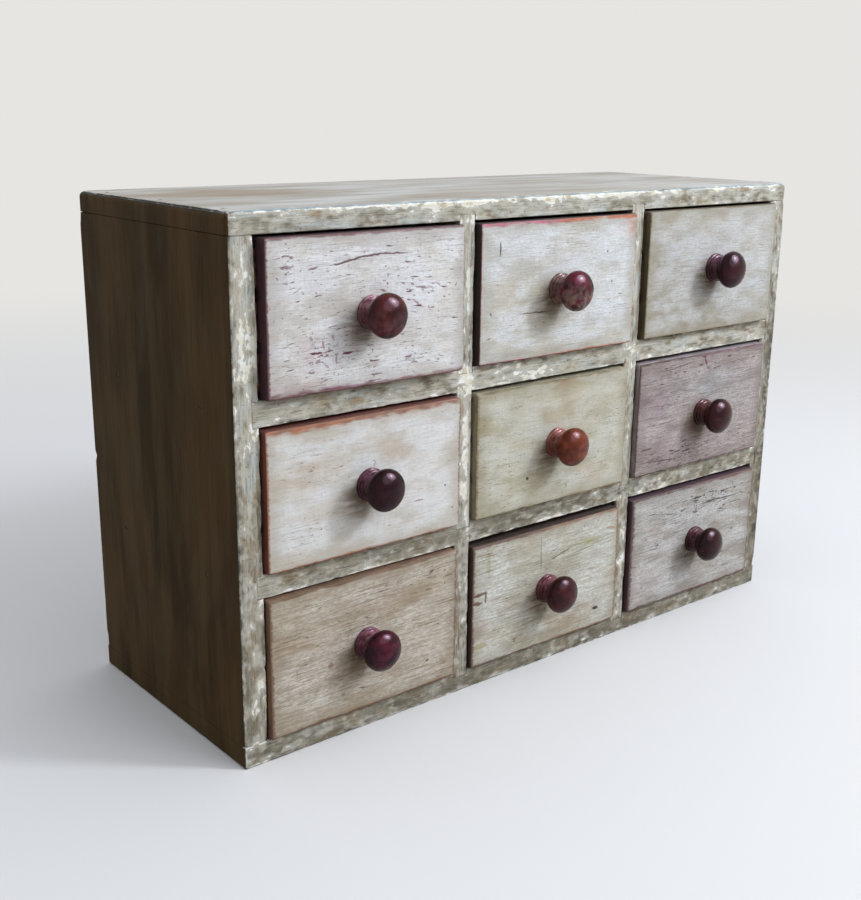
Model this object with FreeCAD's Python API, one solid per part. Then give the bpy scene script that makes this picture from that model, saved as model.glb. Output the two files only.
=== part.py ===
import FreeCAD, Part
import os
from FreeCAD import Placement, Rotation, Vector

# Haberdashery cabinet: a nailed and housed carcass with nine dovetailed drawers, three rows of three.
# Millimetres. Origin at the middle of the carcass's underside, +X to the right, front towards -Y, +Z up.

# ---- carcass sizes ----
overall_width = 640.0
overall_depth = 242.0
overall_height = 426.0
side_thickness = 21.5
top_thickness = 17.0
bottom_thickness = 18.5
upper_shelf_thickness = 20.0
lower_shelf_thickness = 19.0
divider_thickness = 16.0
back_thickness = 8.0
middle_row_height = 114.0       # the top and bottom rows share what is left of the height
left_divider_shift = 0.2        # the hand-set dividers stand a little off an even spacing
right_divider_shift = -1.8
shelf_housing = 6.0             # depth of the shelf housings in the sides
divider_housing = 5.0           # depth of the divider housings in the shelves and boards
back_rebate = 10.0              # how far the back boards reach past the opening's edge
outer_round = 2.5               # worn outer arrises
corner_round = 5.0              # knocked upright corners of the top board
back_board_gap = 1.2            # shrinkage between two back boards
back_edge_gap = 0.4             # between the back boards and their rebate

# ---- drawer sizes ----
front_thickness = 17.0
drawer_side_thickness = 9.0
drawer_back_thickness = 9.0
panel_thickness = 5.0           # drawer bottom
panel_groove = 4.0
panel_rise = 8.0                # drawer bottom's underside above the runners' lower edge
side_drop = 2.0                 # drawer sides stop this far below the front's top edge
back_drop = 4.0                 # drawer back stops this far below the sides' top edge
front_lift = 0.5                # front's lower edge above the runners' lower edge
front_round = 1.2               # worn arrises of the drawer fronts
running_gap = 0.3               # drawer above the board it runs on
stop_gap = 0.3                  # drawer back short of the back boards when pushed home

# ---- dovetails ----
tail_count = 3
pin_width = 8.0                 # between two tails at their tips
half_pin = 5.0                  # outside the first and the last tail
tail_slope = 1.0 / 7.0
front_lap = 6.0                 # wood left in front of the lapped tails
joint_gap = 0.1                 # glue line in every wood joint

# ---- knobs ----
knob_length = 30.0
head_radius = 17.25
crown_depth = 9.6               # from the head's widest line to its crown
brow_share = 0.71               # where the crown turns over, as a share of the head's radius
cheek_root = 1.4                # the head's underside starts this much wider than the neck
neck_radius = 10.2
neck_end = 13.6
collar_radius = 13.4
collar_height = 8.0
ring_count = 2                  # turned rings on the collar, each narrower than the last
ring_height = 3.0
ring_step = 0.9
groove_width = 0.5
groove_depth = 0.4
spigot_radius = 5.0

# ---- cut nails ----
nail_width = 3.0
nail_tip_width = 1.4
nail_gauge = 2.2
nail_head_width = 5.0
nail_head_height = 1.2
nail_sink = 0.4                 # head below the wood's surface
carcass_nail_length = 38.0
back_nail_length = 24.0
nail_inset = 24.0               # outermost nails from the ends of a joint

# How each drawer sits at rest: how far its front stands out of the frame, the gap above it, the gap
# at each side, and how far its knob is off the centre of the front.
ROW_NAMES = ("top", "middle", "bottom")
COLUMN_NAMES = ("left", "centre", "right")
SEATS = {
    ("top", "left"): dict(stand_out=9.0, head_gap=1.6, side_gap=2.2, knob_x=0.0, knob_z=-2.5),
    ("top", "centre"): dict(stand_out=6.7, head_gap=2.2, side_gap=1.0, knob_x=-2.0, knob_z=-1.5),
    ("top", "right"): dict(stand_out=6.5, head_gap=1.8, side_gap=1.2, knob_x=2.0, knob_z=1.0),
    ("middle", "left"): dict(stand_out=5.5, head_gap=2.2, side_gap=0.8, knob_x=1.0, knob_z=-2.0),
    ("middle", "centre"): dict(stand_out=5.5, head_gap=2.4, side_gap=1.0, knob_x=2.5, knob_z=-2.0),
    ("middle", "right"): dict(stand_out=4.5, head_gap=2.8, side_gap=0.8, knob_x=1.5, knob_z=-5.0),
    ("bottom", "left"): dict(stand_out=4.0, head_gap=1.6, side_gap=0.8, knob_x=-1.0, knob_z=-1.0),
    ("bottom", "centre"): dict(stand_out=4.3, head_gap=4.6, side_gap=1.0, knob_x=-2.0, knob_z=-4.0),
    ("bottom", "right"): dict(stand_out=4.8, head_gap=3.0, side_gap=1.0, knob_x=2.0, knob_z=-2.5),
}

# ---- places worked out from the sizes ----
front_plane = -overall_depth / 2
back_plane = overall_depth / 2
back_inner = back_plane - back_thickness
half_width = overall_width / 2
inner_x = half_width - side_thickness
under_top = overall_height - top_thickness
board_total = top_thickness + bottom_thickness + upper_shelf_thickness + lower_shelf_thickness
outer_row_height = (overall_height - board_total - middle_row_height) / 2
lower_shelf_z = bottom_thickness + outer_row_height
middle_row_z = lower_shelf_z + lower_shelf_thickness
upper_shelf_z = middle_row_z + middle_row_height
top_row_z = upper_shelf_z + upper_shelf_thickness
column_width = (2 * inner_x - 2 * divider_thickness) / 3
divider_pitch = column_width + divider_thickness
left_divider_x = -divider_pitch / 2 + left_divider_shift
right_divider_x = divider_pitch / 2 + right_divider_shift
drawer_length = back_inner - stop_gap - front_plane

ROWS = {
    "top": (top_row_z, under_top),
    "middle": (middle_row_z, upper_shelf_z),
    "bottom": (bottom_thickness, lower_shelf_z),
}
COLUMNS = {
    "left": (-inner_x, left_divider_x - divider_thickness / 2),
    "centre": (left_divider_x + divider_thickness / 2, right_divider_x - divider_thickness / 2),
    "right": (right_divider_x + divider_thickness / 2, inner_x),
}
DIVIDERS = {"left": left_divider_x, "right": right_divider_x}
SHELVES = {
    "lower": (lower_shelf_z, middle_row_z),
    "upper": (upper_shelf_z, top_row_z),
}


# ---- small tools ----
def block(x0, x1, y0, y1, z0, z1):
    """A box between two corners."""
    return Part.makeBox(x1 - x0, y1 - y0, z1 - z0, Vector(x0, y0, z0))


def prism_along_x(outline, x0, x1):
    """A (y, z) outline drawn at x0 and carried to x1."""
    points = [Vector(x0, y, z) for y, z in outline]
    face = Part.Face(Part.makePolygon(points + points[:1]))
    return face.extrude(Vector(x1 - x0, 0, 0))


def rounded(shape, radius, keep):
    """Round the straight edges whose middle passes the test."""
    return shape.makeFillet(radius, [e for e in shape.Edges if keep(e.CenterOfMass)])


def export(name, shapes):
    """Write one node, as one solid or as a group of separate solids."""
    shape = shapes[0] if len(shapes) == 1 else Part.makeCompound(shapes)
    shape.exportStep("parts/" + name + ".step")


# ---- nails ----
def nail(head, direction, length, grow=0.0):
    """A cut nail driven from its head point along a direction; grow makes the hole for it."""
    half_head = nail_head_width / 2 + grow
    half_top = nail_width / 2 + grow
    half_tip = nail_tip_width / 2 + grow
    half_gauge = nail_gauge / 2 + grow
    neck = nail_head_height + grow
    top = nail_sink if grow else 0.0
    outline = [
        (-half_head, top), (half_head, top), (half_head, -neck), (half_top, -neck),
        (half_tip, -length - grow), (-half_tip, -length - grow), (-half_top, -neck), (-half_head, -neck),
    ]
    solid = prism_along_x(outline, -half_gauge, half_gauge)
    solid.Placement = Placement(head, Rotation(Vector(0, 0, -1), direction))
    return solid


def spread(low, high, count):
    """Evenly spaced places from low to high."""
    return [low + (high - low) * i / (count - 1) for i in range(count)]


def carcass_nail_places():
    """(head point, direction, boards it joins) for the nails of the carcass."""
    places = []
    edge_x = half_width - side_thickness / 2
    for side, name in ((-1, "left_side"), (1, "right_side")):
        for y in spread(front_plane + nail_inset, back_inner - nail_inset, 3):
            down = Vector(side * edge_x, y, overall_height - nail_sink)
            up = Vector(side * edge_x, y, nail_sink)
            places.append((down, Vector(0, 0, -1), ("top_board", name)))
            places.append((up, Vector(0, 0, 1), ("bottom_board", name)))
        for shelf, (z0, z1) in SHELVES.items():
            for y in spread(front_plane + 2 * nail_inset, back_inner - 2 * nail_inset, 2):
                head = Vector(side * (half_width - nail_sink), y, (z0 + z1) / 2)
                places.append((head, Vector(-side, 0, 0), (name, shelf + "_shelf")))
    return places


def back_board_spans():
    """Lowest and highest z of the three horizontal back boards, which meet behind the shelves."""
    bottom = bottom_thickness - back_rebate + back_edge_gap
    top = under_top + back_rebate - back_edge_gap
    joints = [(z0 + z1) / 2 for z0, z1 in SHELVES.values()]
    lows = [bottom] + [z + back_board_gap / 2 for z in joints]
    highs = [z - back_board_gap / 2 for z in joints] + [top]
    return list(zip(lows, highs))


def back_nail_places():
    """(head point, direction, boards it joins) for the nails of the back boards."""
    places = []
    inward = Vector(0, -1, 0)
    behind = back_plane - nail_sink
    side_x = inner_x + back_rebate / 2
    spans = back_board_spans()
    for low, high in spans:
        for z in (low + nail_inset, high - nail_inset):
            places.append((Vector(-side_x, behind, z), inward, ("back_boards", "left_side")))
            places.append((Vector(side_x, behind, z), inward, ("back_boards", "right_side")))
    edges = [
        ("bottom_board", bottom_thickness - back_rebate / 2),
        ("top_board", under_top + back_rebate / 2),
    ]
    for shelf, (z0, z1) in SHELVES.items():
        edges.append((shelf + "_shelf", (z0 + z1) / 2 - lower_shelf_thickness / 4))
        edges.append((shelf + "_shelf", (z0 + z1) / 2 + lower_shelf_thickness / 4))
    for board, z in edges:
        for x in spread(-column_width, column_width, 2):
            places.append((Vector(x, behind, z), inward, ("back_boards", board)))
    return places


CARCASS_NAILS = carcass_nail_places()
BACK_NAILS = back_nail_places()


def nailed(name, shape):
    """The board with a hole for every nail that is driven into it."""
    driven = [(nail_place, carcass_nail_length) for nail_place in CARCASS_NAILS]
    driven += [(nail_place, back_nail_length) for nail_place in BACK_NAILS]
    holes = [nail(head, way, length, joint_gap) for (head, way, boards), length in driven if name in boards]
    return shape.cut(holes)


# ---- carcass ----
def back_rebate_space():
    """The space for the back boards, taken out of the sides and the top and bottom boards."""
    reach = inner_x + back_rebate
    low, high = bottom_thickness - back_rebate, under_top + back_rebate
    return block(-reach, reach, back_inner, back_plane + 1, low, high)


def divider_housings(below=None, above=None):
    """Housings for the dividers that stand on a face at z = below or hang from one at z = above."""
    spaces = []
    half = divider_thickness / 2 + joint_gap
    deep = divider_housing + joint_gap
    y0, y1 = front_plane - 1, back_inner + 1
    for x in DIVIDERS.values():
        if below is not None:
            spaces.append(block(x - half, x + half, y0, y1, below - deep, below + 1))
        if above is not None:
            spaces.append(block(x - half, x + half, y0, y1, above - 1, above + deep))
    return spaces


def top_board():
    """Full-width top, laid over the sides, its corners knocked round and its upper arrises worn."""
    board = block(-half_width, half_width, front_plane, back_plane, under_top + joint_gap, overall_height)
    board = rounded(board, corner_round, lambda middle: under_top + 1 < middle.z < overall_height - 1)
    board = rounded(board, outer_round, lambda middle: middle.z > overall_height - 0.01)
    board = board.cut(divider_housings(above=under_top) + [back_rebate_space()])
    return nailed("top_board", board)


def bottom_board():
    """Full-width bottom under the sides; its underside is what the cabinet stands on."""
    board = block(-half_width, half_width, front_plane, back_plane, 0, bottom_thickness - joint_gap)
    at_ends = half_width - 0.01
    below = bottom_thickness - 1
    board = rounded(board, outer_round, lambda middle: abs(middle.x) > at_ends and middle.z < below)
    board = board.cut(divider_housings(below=bottom_thickness) + [back_rebate_space()])
    return nailed("bottom_board", board)


def carcass_side(side):
    """A side board with its shelf housings, the back rebate and worn outer arrises; side is -1 or 1."""
    outer, inner = sorted((side * half_width, side * inner_x), key=abs, reverse=True)
    x0, x1 = sorted((outer, inner))
    board = block(x0, x1, front_plane, back_plane, bottom_thickness, under_top)
    half_way = (bottom_thickness + under_top) / 2

    def upright_outside(middle):
        return abs(middle.x - outer) < 0.01 and abs(middle.z - half_way) < 1

    board = rounded(board, outer_round, upright_outside)
    housings = []
    for z0, z1 in SHELVES.values():
        h0, h1 = sorted((side * (inner_x - 1), side * (inner_x + shelf_housing + joint_gap)))
        housings.append(block(h0, h1, front_plane - 1, back_plane + 1, z0 - joint_gap, z1 + joint_gap))
    board = board.cut(housings + [back_rebate_space()])
    return nailed("left_side" if side < 0 else "right_side", board)


def shelf(name):
    """A shelf, its ends in the sides' housings, with housings for the dividers above and below it."""
    z0, z1 = SHELVES[name]
    reach = inner_x + shelf_housing
    board = block(-reach, reach, front_plane, back_inner, z0, z1)
    board = board.cut(divider_housings(below=z1, above=z0))
    return nailed(name + "_shelf", board)


def divider(row, column):
    """A short upright between two drawers of a row, its ends in the boards above and below it."""
    z0, z1 = ROWS[row]
    x = DIVIDERS[column]
    half = divider_thickness / 2
    return block(x - half, x + half, front_plane, back_inner, z0 - divider_housing, z1 + divider_housing)


def back_boards():
    """Three horizontal boards nailed into the rebate, with a shrinkage gap behind each shelf."""
    reach = inner_x + back_rebate - back_edge_gap
    y0 = back_inner + joint_gap
    boards = [block(-reach, reach, y0, back_plane, low, high) for low, high in back_board_spans()]
    return [nailed("back_boards", board) for board in boards]


# ---- drawers ----
def tails_between(bottom, top):
    """(low, high) of each dovetail at its tip, spread between two edges."""
    tail = (top - bottom - 2 * half_pin - (tail_count - 1) * pin_width) / tail_count
    lows = [bottom + half_pin + i * (tail + pin_width) for i in range(tail_count)]
    return [(low, low + tail) for low in lows]


def tail_points(shoulder, tip, low, high, grow=0.0):
    """One tail's four (y, z) corners, lower shoulder first; grow makes its socket."""
    way = 1 if tip > shoulder else -1
    flare = tail_slope * abs(tip - shoulder)
    near = shoulder - way * grow
    far = tip + way * grow
    room_at_tip = grow * (1 + tail_slope)
    room_at_shoulder = grow * (1 - tail_slope)
    return [
        (near, low + flare - room_at_shoulder), (far, low - room_at_tip),
        (far, high + room_at_tip), (near, high - flare + room_at_shoulder),
    ]


class Drawer:
    """The sizes of one drawer, pushed home in its opening."""

    def __init__(self, row, column):
        seat = SEATS[row, column]
        left, right = COLUMNS[column]
        low, high = ROWS[row]
        self.stand_out = seat["stand_out"]
        self.x0 = left + seat["side_gap"]
        self.x1 = right - seat["side_gap"]
        self.z0 = low + running_gap
        self.front_top = high - seat["head_gap"]
        self.side_top = self.front_top - side_drop
        self.back_top = self.side_top - back_drop
        self.face = front_plane
        self.front_back = self.face + front_thickness
        self.end = self.face + drawer_length
        self.back_front = self.end - drawer_back_thickness
        self.in0 = self.x0 + drawer_side_thickness
        self.in1 = self.x1 - drawer_side_thickness
        self.panel_z = self.z0 + panel_rise
        self.back_z = self.panel_z + panel_thickness + joint_gap
        self.front_tails = tails_between(self.z0, self.side_top)
        self.back_tails = tails_between(self.back_z, self.back_top)
        self.knob_x = (self.x0 + self.x1) / 2 + seat["knob_x"]
        self.knob_z = (low + high) / 2 + seat["knob_z"]

    def sockets(self, tails, shoulder, tip):
        """The spaces for a row of tails at both ends of a front or back."""
        deep = drawer_side_thickness + joint_gap
        spaces = []
        for low, high in tails:
            outline = tail_points(shoulder, tip, low, high, joint_gap)
            spaces.append(prism_along_x(outline, self.x0 - 1, self.x0 + deep))
            spaces.append(prism_along_x(outline, self.x1 - deep, self.x1 + 1))
        return spaces

    def front(self):
        """The solid front: lapped sockets at its ends, a groove for the bottom and the knob's hole."""
        board = block(self.x0, self.x1, self.face, self.front_back, self.z0 + front_lift, self.front_top)
        board = rounded(board, front_round, lambda middle: abs(middle.y - self.face) < 0.01)
        groove = block(
            self.in0 - panel_groove - joint_gap, self.in1 + panel_groove + joint_gap,
            self.front_back - panel_groove - joint_gap, self.front_back + 1,
            self.panel_z - joint_gap, self.panel_z + panel_thickness + joint_gap,
        )
        hole = Part.makeCylinder(
            spigot_radius + joint_gap, front_thickness + 2,
            Vector(self.knob_x, self.face - 1, self.knob_z), Vector(0, 1, 0),
        )
        sockets = self.sockets(self.front_tails, self.front_back + joint_gap, self.tail_tip())
        return board.cut(sockets + [groove, hole])

    def tail_tip(self):
        """Where the lapped tails end inside the front."""
        return self.face + front_lap + joint_gap

    def side_outline(self):
        """The (y, z) outline of a drawer side: lapped tails in front, through tails behind."""
        shoulder = self.front_back + joint_gap
        back_shoulder = self.back_front - joint_gap
        outline = [(shoulder, self.z0)]
        for low, high in self.front_tails:
            outline += tail_points(shoulder, self.tail_tip(), low, high)
        outline += [(shoulder, self.side_top), (self.end, self.side_top)]
        outline += [(self.end, self.back_top + joint_gap), (back_shoulder, self.back_top + joint_gap)]
        for low, high in reversed(self.back_tails):
            outline += reversed(tail_points(back_shoulder, self.end, low, high))
        outline += [(back_shoulder, self.back_z - joint_gap), (self.end, self.back_z - joint_gap)]
        return outline + [(self.end, self.z0)]

    def sides(self):
        """Both sides, each with the groove that the bottom slides into."""
        groove = block(
            self.in0 - panel_groove - joint_gap, self.in1 + panel_groove + joint_gap,
            self.face, self.end + 1,
            self.panel_z - joint_gap, self.panel_z + panel_thickness + joint_gap,
        )
        outline = self.side_outline()
        boards = [prism_along_x(outline, self.x0, self.in0), prism_along_x(outline, self.in1, self.x1)]
        return [board.cut(groove) for board in boards]

    def back(self):
        """The back, standing on the bottom, with sockets for the through tails."""
        board = block(self.x0, self.x1, self.back_front, self.end, self.back_z, self.back_top)
        return board.cut(self.sockets(self.back_tails, self.back_front - joint_gap, self.end))

    def bottom(self):
        """The thin bottom, slid in from behind under the back."""
        reach = panel_groove
        return block(
            self.in0 - reach, self.in1 + reach,
            self.front_back - reach, self.end,
            self.panel_z, self.panel_z + panel_thickness,
        )

    def knob(self):
        """The turned knob, its spigot glued through the front."""
        solid = turned_knob()
        solid.translate(Vector(self.knob_x, self.face, self.knob_z))
        return solid

    def pieces(self):
        """Every piece by name, with the drawer standing out of the frame as it rests."""
        made = {
            "front": [self.front()],
            "sides": self.sides(),
            "back": [self.back()],
            "bottom": [self.bottom()],
            "knob": [self.knob()],
        }
        for shapes in made.values():
            for shape in shapes:
                shape.translate(Vector(0, -self.stand_out, 0))
        return made


# ---- knob ----
def curve_through(points, **tangents):
    """A smooth curve through points, with the tangents given at its ends."""
    curve = Part.BSplineCurve()
    curve.interpolate(Points=points, **tangents)
    return curve.toShape()


def collar_points():
    """Along the spigot and the collar, whose rings step in with a groove between them."""
    corners = [(0, -front_thickness), (spigot_radius, -front_thickness)]
    corners += [(spigot_radius, 0), (collar_radius, 0)]
    radius = collar_radius
    for i in range(ring_count):
        ring_top = (i + 1) * ring_height
        corners += [(radius, ring_top - groove_width), (radius - ring_step - groove_depth, ring_top)]
        radius -= ring_step
        corners.append((radius, ring_top + groove_width))
    corners.append((radius, collar_height))
    return [Vector(radius, -height, 0) for radius, height in corners]


def turned_knob():
    """A knob turned in one piece: spigot, ringed collar, hollow neck and flattened ball head."""
    points = collar_points()
    edges = [Part.LineSegment(a, b).toShape() for a, b in zip(points, points[1:])]
    waist = Vector(neck_radius, -(collar_height + neck_end) / 2, 0)
    root = Vector(neck_radius + cheek_root, -neck_end, 0)
    widest = Vector(head_radius, crown_depth - knob_length, 0)
    brow = Vector(head_radius * brow_share, crown_depth * (1 - brow_share) - knob_length, 0)
    crown_tip = Vector(0, -knob_length, 0)
    outward, inward = Vector(0, -1, 0), Vector(-1, 0, 0)
    edges.append(curve_through([points[-1], waist, root, widest], FinalTangent=outward))
    edges.append(curve_through([widest, brow, crown_tip], InitialTangent=outward, FinalTangent=inward))
    edges.append(Part.LineSegment(crown_tip, points[0]).toShape())
    face = Part.Face(Part.Wire(Part.__sortEdges__(edges)))
    return face.revolve(Vector(0, 0, 0), Vector(0, 1, 0), 360)


def main():
    os.makedirs("parts", exist_ok=True)
    export("top_board", [top_board()])
    export("bottom_board", [bottom_board()])
    export("left_side", [carcass_side(-1)])
    export("right_side", [carcass_side(1)])
    for name in SHELVES:
        export(name + "_shelf", [shelf(name)])
    for row in ROW_NAMES:
        for column in DIVIDERS:
            export(row + "_" + column + "_divider", [divider(row, column)])
    export("back_boards", back_boards())
    export("carcass_nails", [nail(head, way, carcass_nail_length) for head, way, boards in CARCASS_NAILS])
    export("back_nails", [nail(head, way, back_nail_length) for head, way, boards in BACK_NAILS])
    for row in ROW_NAMES:
        for column in COLUMN_NAMES:
            for piece, shapes in Drawer(row, column).pieces().items():
                export("drawer_" + row + "_" + column + "_" + piece, shapes)


main()
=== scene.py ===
import math

import bmesh
import bpy
from bpy.props import CollectionProperty, FloatProperty, FloatVectorProperty, IntProperty, PointerProperty
from bpy.types import Operator, Panel, PropertyGroup
from mathutils import Matrix, Vector, geometry, noise


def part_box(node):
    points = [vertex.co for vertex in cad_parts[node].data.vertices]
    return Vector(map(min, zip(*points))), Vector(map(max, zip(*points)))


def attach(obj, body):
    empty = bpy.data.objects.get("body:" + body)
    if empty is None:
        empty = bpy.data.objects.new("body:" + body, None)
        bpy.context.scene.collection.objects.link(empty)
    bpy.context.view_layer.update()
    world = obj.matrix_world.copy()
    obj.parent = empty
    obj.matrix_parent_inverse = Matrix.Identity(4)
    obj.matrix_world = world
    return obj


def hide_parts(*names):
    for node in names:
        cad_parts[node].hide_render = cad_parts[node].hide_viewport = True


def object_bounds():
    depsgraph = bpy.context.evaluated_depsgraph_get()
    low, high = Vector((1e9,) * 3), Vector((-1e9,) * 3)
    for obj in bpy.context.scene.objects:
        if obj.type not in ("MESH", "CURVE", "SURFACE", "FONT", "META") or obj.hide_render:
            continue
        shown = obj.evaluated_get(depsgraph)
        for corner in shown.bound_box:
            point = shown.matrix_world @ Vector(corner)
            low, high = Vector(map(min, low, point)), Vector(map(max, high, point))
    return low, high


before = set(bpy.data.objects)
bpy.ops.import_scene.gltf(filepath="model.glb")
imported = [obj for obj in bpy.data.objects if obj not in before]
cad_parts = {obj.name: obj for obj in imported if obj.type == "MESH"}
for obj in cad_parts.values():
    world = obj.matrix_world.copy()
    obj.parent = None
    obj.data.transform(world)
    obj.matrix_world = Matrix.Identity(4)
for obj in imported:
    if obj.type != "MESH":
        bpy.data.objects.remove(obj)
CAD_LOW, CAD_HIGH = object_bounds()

bl_info = {
    "name": "Haberdashery Cabinet",
    "version": (1, 0, 0),
    "blender": (4, 5, 0),
    "location": "View3D > Sidebar > Cabinet",
    "description": "Worn paint, washed drawer fronts and turned knobs for a nine-drawer cabinet",
    "category": "Add Mesh",
}

MM = 0.001
TOUCHING = 0.001 * MM     # points nearer than this are one point
ROWS = ("top", "middle", "bottom")
COLUMNS = ("left", "centre", "right")
DRAWERS = [(row, column) for row in ROWS for column in COLUMNS]
X, Y, Z = 0, 1, 2


def linear(code):
    """An sRGB hex colour as linear red, green, blue and alpha."""
    parts = [int(code[i:i + 2], 16) / 255 for i in (0, 2, 4)]
    return tuple(c / 12.92 if c <= 0.04045 else ((c + 0.055) / 1.055) ** 2.4 for c in parts) + (1.0,)


# ---- colours and sizes that a user would change ----
def colour(name, description, code):
    """A colour to choose, from its sRGB hex."""
    return FloatVectorProperty(
        name=name, description=description, default=linear(code), subtype="COLOR", size=4, min=0.0, max=1.0)


def length(name, description, millimetres):
    """A length to choose."""
    return FloatProperty(name=name, description=description, default=millimetres * MM, unit="LENGTH", min=0.0)


def power(name, description, watts):
    """A lamp's power to choose."""
    return FloatProperty(name=name, description=description, default=watts, unit="POWER", min=0.0)


def amount(name, description, default, most=1.0):
    """A share or a strength to choose."""
    return FloatProperty(name=name, description=description, default=default, min=0.0, max=most)


class CarcassFinish(PropertyGroup):
    """Paint and wear of the carcass."""

    paint: colour("Paint", "Olive-grey paint on the front edges of the boards", "9b9684")
    paint_pale: colour("Pale paint", "Where the paint is rubbed thin and pale", "b5b09d")
    paint_deep: colour("Deep paint", "Where the paint is thick and dirty", "726a57")
    paint_warm: colour("Warm paint", "Where brown varnish has soaked in", "a28763")
    veil: colour("Chalky veil", "Blue-white bloom over the paint", "c4cdc9")
    cream: colour("Thin paint", "Where the undercoat glows through thin paint", "cccabe")
    chip: colour("Chip", "Cream undercoat bared by flaking", "e6e3d2")
    chip_aged: colour("Aged chip", "Undercoat gone yellow", "cfc0a0")
    chip_chalky: colour("Chalky chip", "Undercoat washed white", "f2f4ee")
    # This colour paints soiling, and also the painted shade inside the openings, at their edges and on the
    # lower rails.
    grime: colour("Grime", "Dirt in corners and cracks", "474036")
    rubbed: colour("Rubbed arris", "Old blue-green paint bared along the arrises", "3f4d4e")
    blue: colour("Blue coat", "Older blue coat bared along the front arris of the top board", "6d8f9c")
    # The side colours are darker than the paint itself: painted shade.
    side: colour("Side paint", "Brown-olive paint on the sides", "4f3c23")
    side_deep: colour("Deep side paint", "Darkest streaks of the sides", "332611")
    side_pale: colour("Pale side paint", "Palest streaks of the sides", "665437")
    side_grey: colour("Grey side paint", "Greyish scuffs of the sides", "5b4f38")
    top: colour("Top paint", "Pale paint on the top board", "c4c3bd")
    top_warm: colour("Warm top paint", "Brown where things stood on the top board", "9f907a")
    top_deep: colour("Deep top paint", "Streaks of the top board", "8f8677")
    arris: length("Arris", "Mean radius of the worn arrises at the openings", 1.3)
    outer_arris: length("Outer arris", "Mean radius of the worn arrises round the cabinet", 2.0)
    corner: length("Corner", "How much rounder the corners are worn", 4.5)
    flake: length("Flake", "How far the flaking undercoat stands up", 0.3)
    pitch: length("Mesh pitch", "Spacing of the mesh along the front edges", 1.5)


class DrawerFinish(PropertyGroup):
    """Wash, flecks, edges and knob of one drawer."""

    pale: colour("Pale wash", "Main colour of the wash", "d6d2c8")
    wash: colour("Second wash", "Colour of the broad patches", "c2baa8")
    streak: colour("Streak", "Colour of the dry brush streaks", "9a8c78")
    fleck: colour("Fleck", "Old paint that shows through in flecks", "6b3a3a")
    edge: colour("Worn edge", "Old paint bared along the edges", "8a4a30")
    far_edge: colour("Worn edge, right", "Old paint bared towards the right", "8a4a30")
    ends: colour("End grain", "Colour of the ends of the front", "3e2a22")
    knob: colour("Knob", "Lacquer of the knob", "6a2c28")
    knob_deep: colour("Knob, deep", "Darkest streaks of the knob", "3a1716")
    collar: colour("Collar", "Dusty bloom on the collar of the knob", "8a6668")
    chalk: colour("Chalk", "Brightest strokes of the wash", "e6e8ea")
    # This colour also paints the knob's shadow and the shade at the front's edges.
    dirt_and_shade: colour("Dirt", "Handling dirt round the knob and along the edges", "5b4830")
    brushed: amount("Brushed", "How strongly the brush's lines show", 1.0, 2.0)
    scuffed: amount("Scuffed", "How strongly the lower half of the knob is scuffed pale", 0.08)


class KnobShape(PropertyGroup):
    """Sizes of the turned knob that the frame's box doesn't give."""

    collar_radius: length("Collar radius", "Radius of the ringed collar at the drawer front", 13.4)
    collar_height: length("Collar height", "Height of the collar", 8.0)
    neck_radius: length("Neck radius", "Radius of the narrowest part", 10.2)
    neck_end: length("Neck end", "Height at which the head starts", 13.6)
    crown_depth: length("Crown depth", "From the widest line of the head to its crown", 9.6)
    steps: IntProperty(name="Steps", description="Faces round the knob", default=64, min=12)


class StageSettings(PropertyGroup):
    """Floor, lamps and camera."""

    floor: colour("Floor", "Colour of the plain floor where it is seen, straight on or mirrored", "dbdad7")
    bounce: colour("Bounce", "Colour that the floor throws back on the cabinet", "8f8270")
    sky: colour("Sky", "Colour of the soft light from above", "eef2fb")
    backdrop: colour("Backdrop", "Colour that the floor fades into", "e6e5e2")
    key_tint: colour("Key tint", "Colour of the lamps", "f0f5ff")
    key_power: power("Key lamp", "Power of the large soft lamp", 52.0)
    glint_power: power("Glint lamp", "Power of the small lamp", 30.0)
    sheen_power: power("Sheen lamp", "Power of the lamp that only gloss reflects", 90.0)
    zenith: amount("Zenith", "Strength of the light from above", 1.0, 4.0)
    horizon: amount("Horizon", "Strength of the light from the sides", 0.3, 4.0)
    far_side: amount("Far side", "Light from the left. The light from the right is 2 minus this", 0.7, 2.0)
    lens: FloatProperty(name="Lens", description="Focal length in millimetres", default=48.85, unit="CAMERA")


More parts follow.
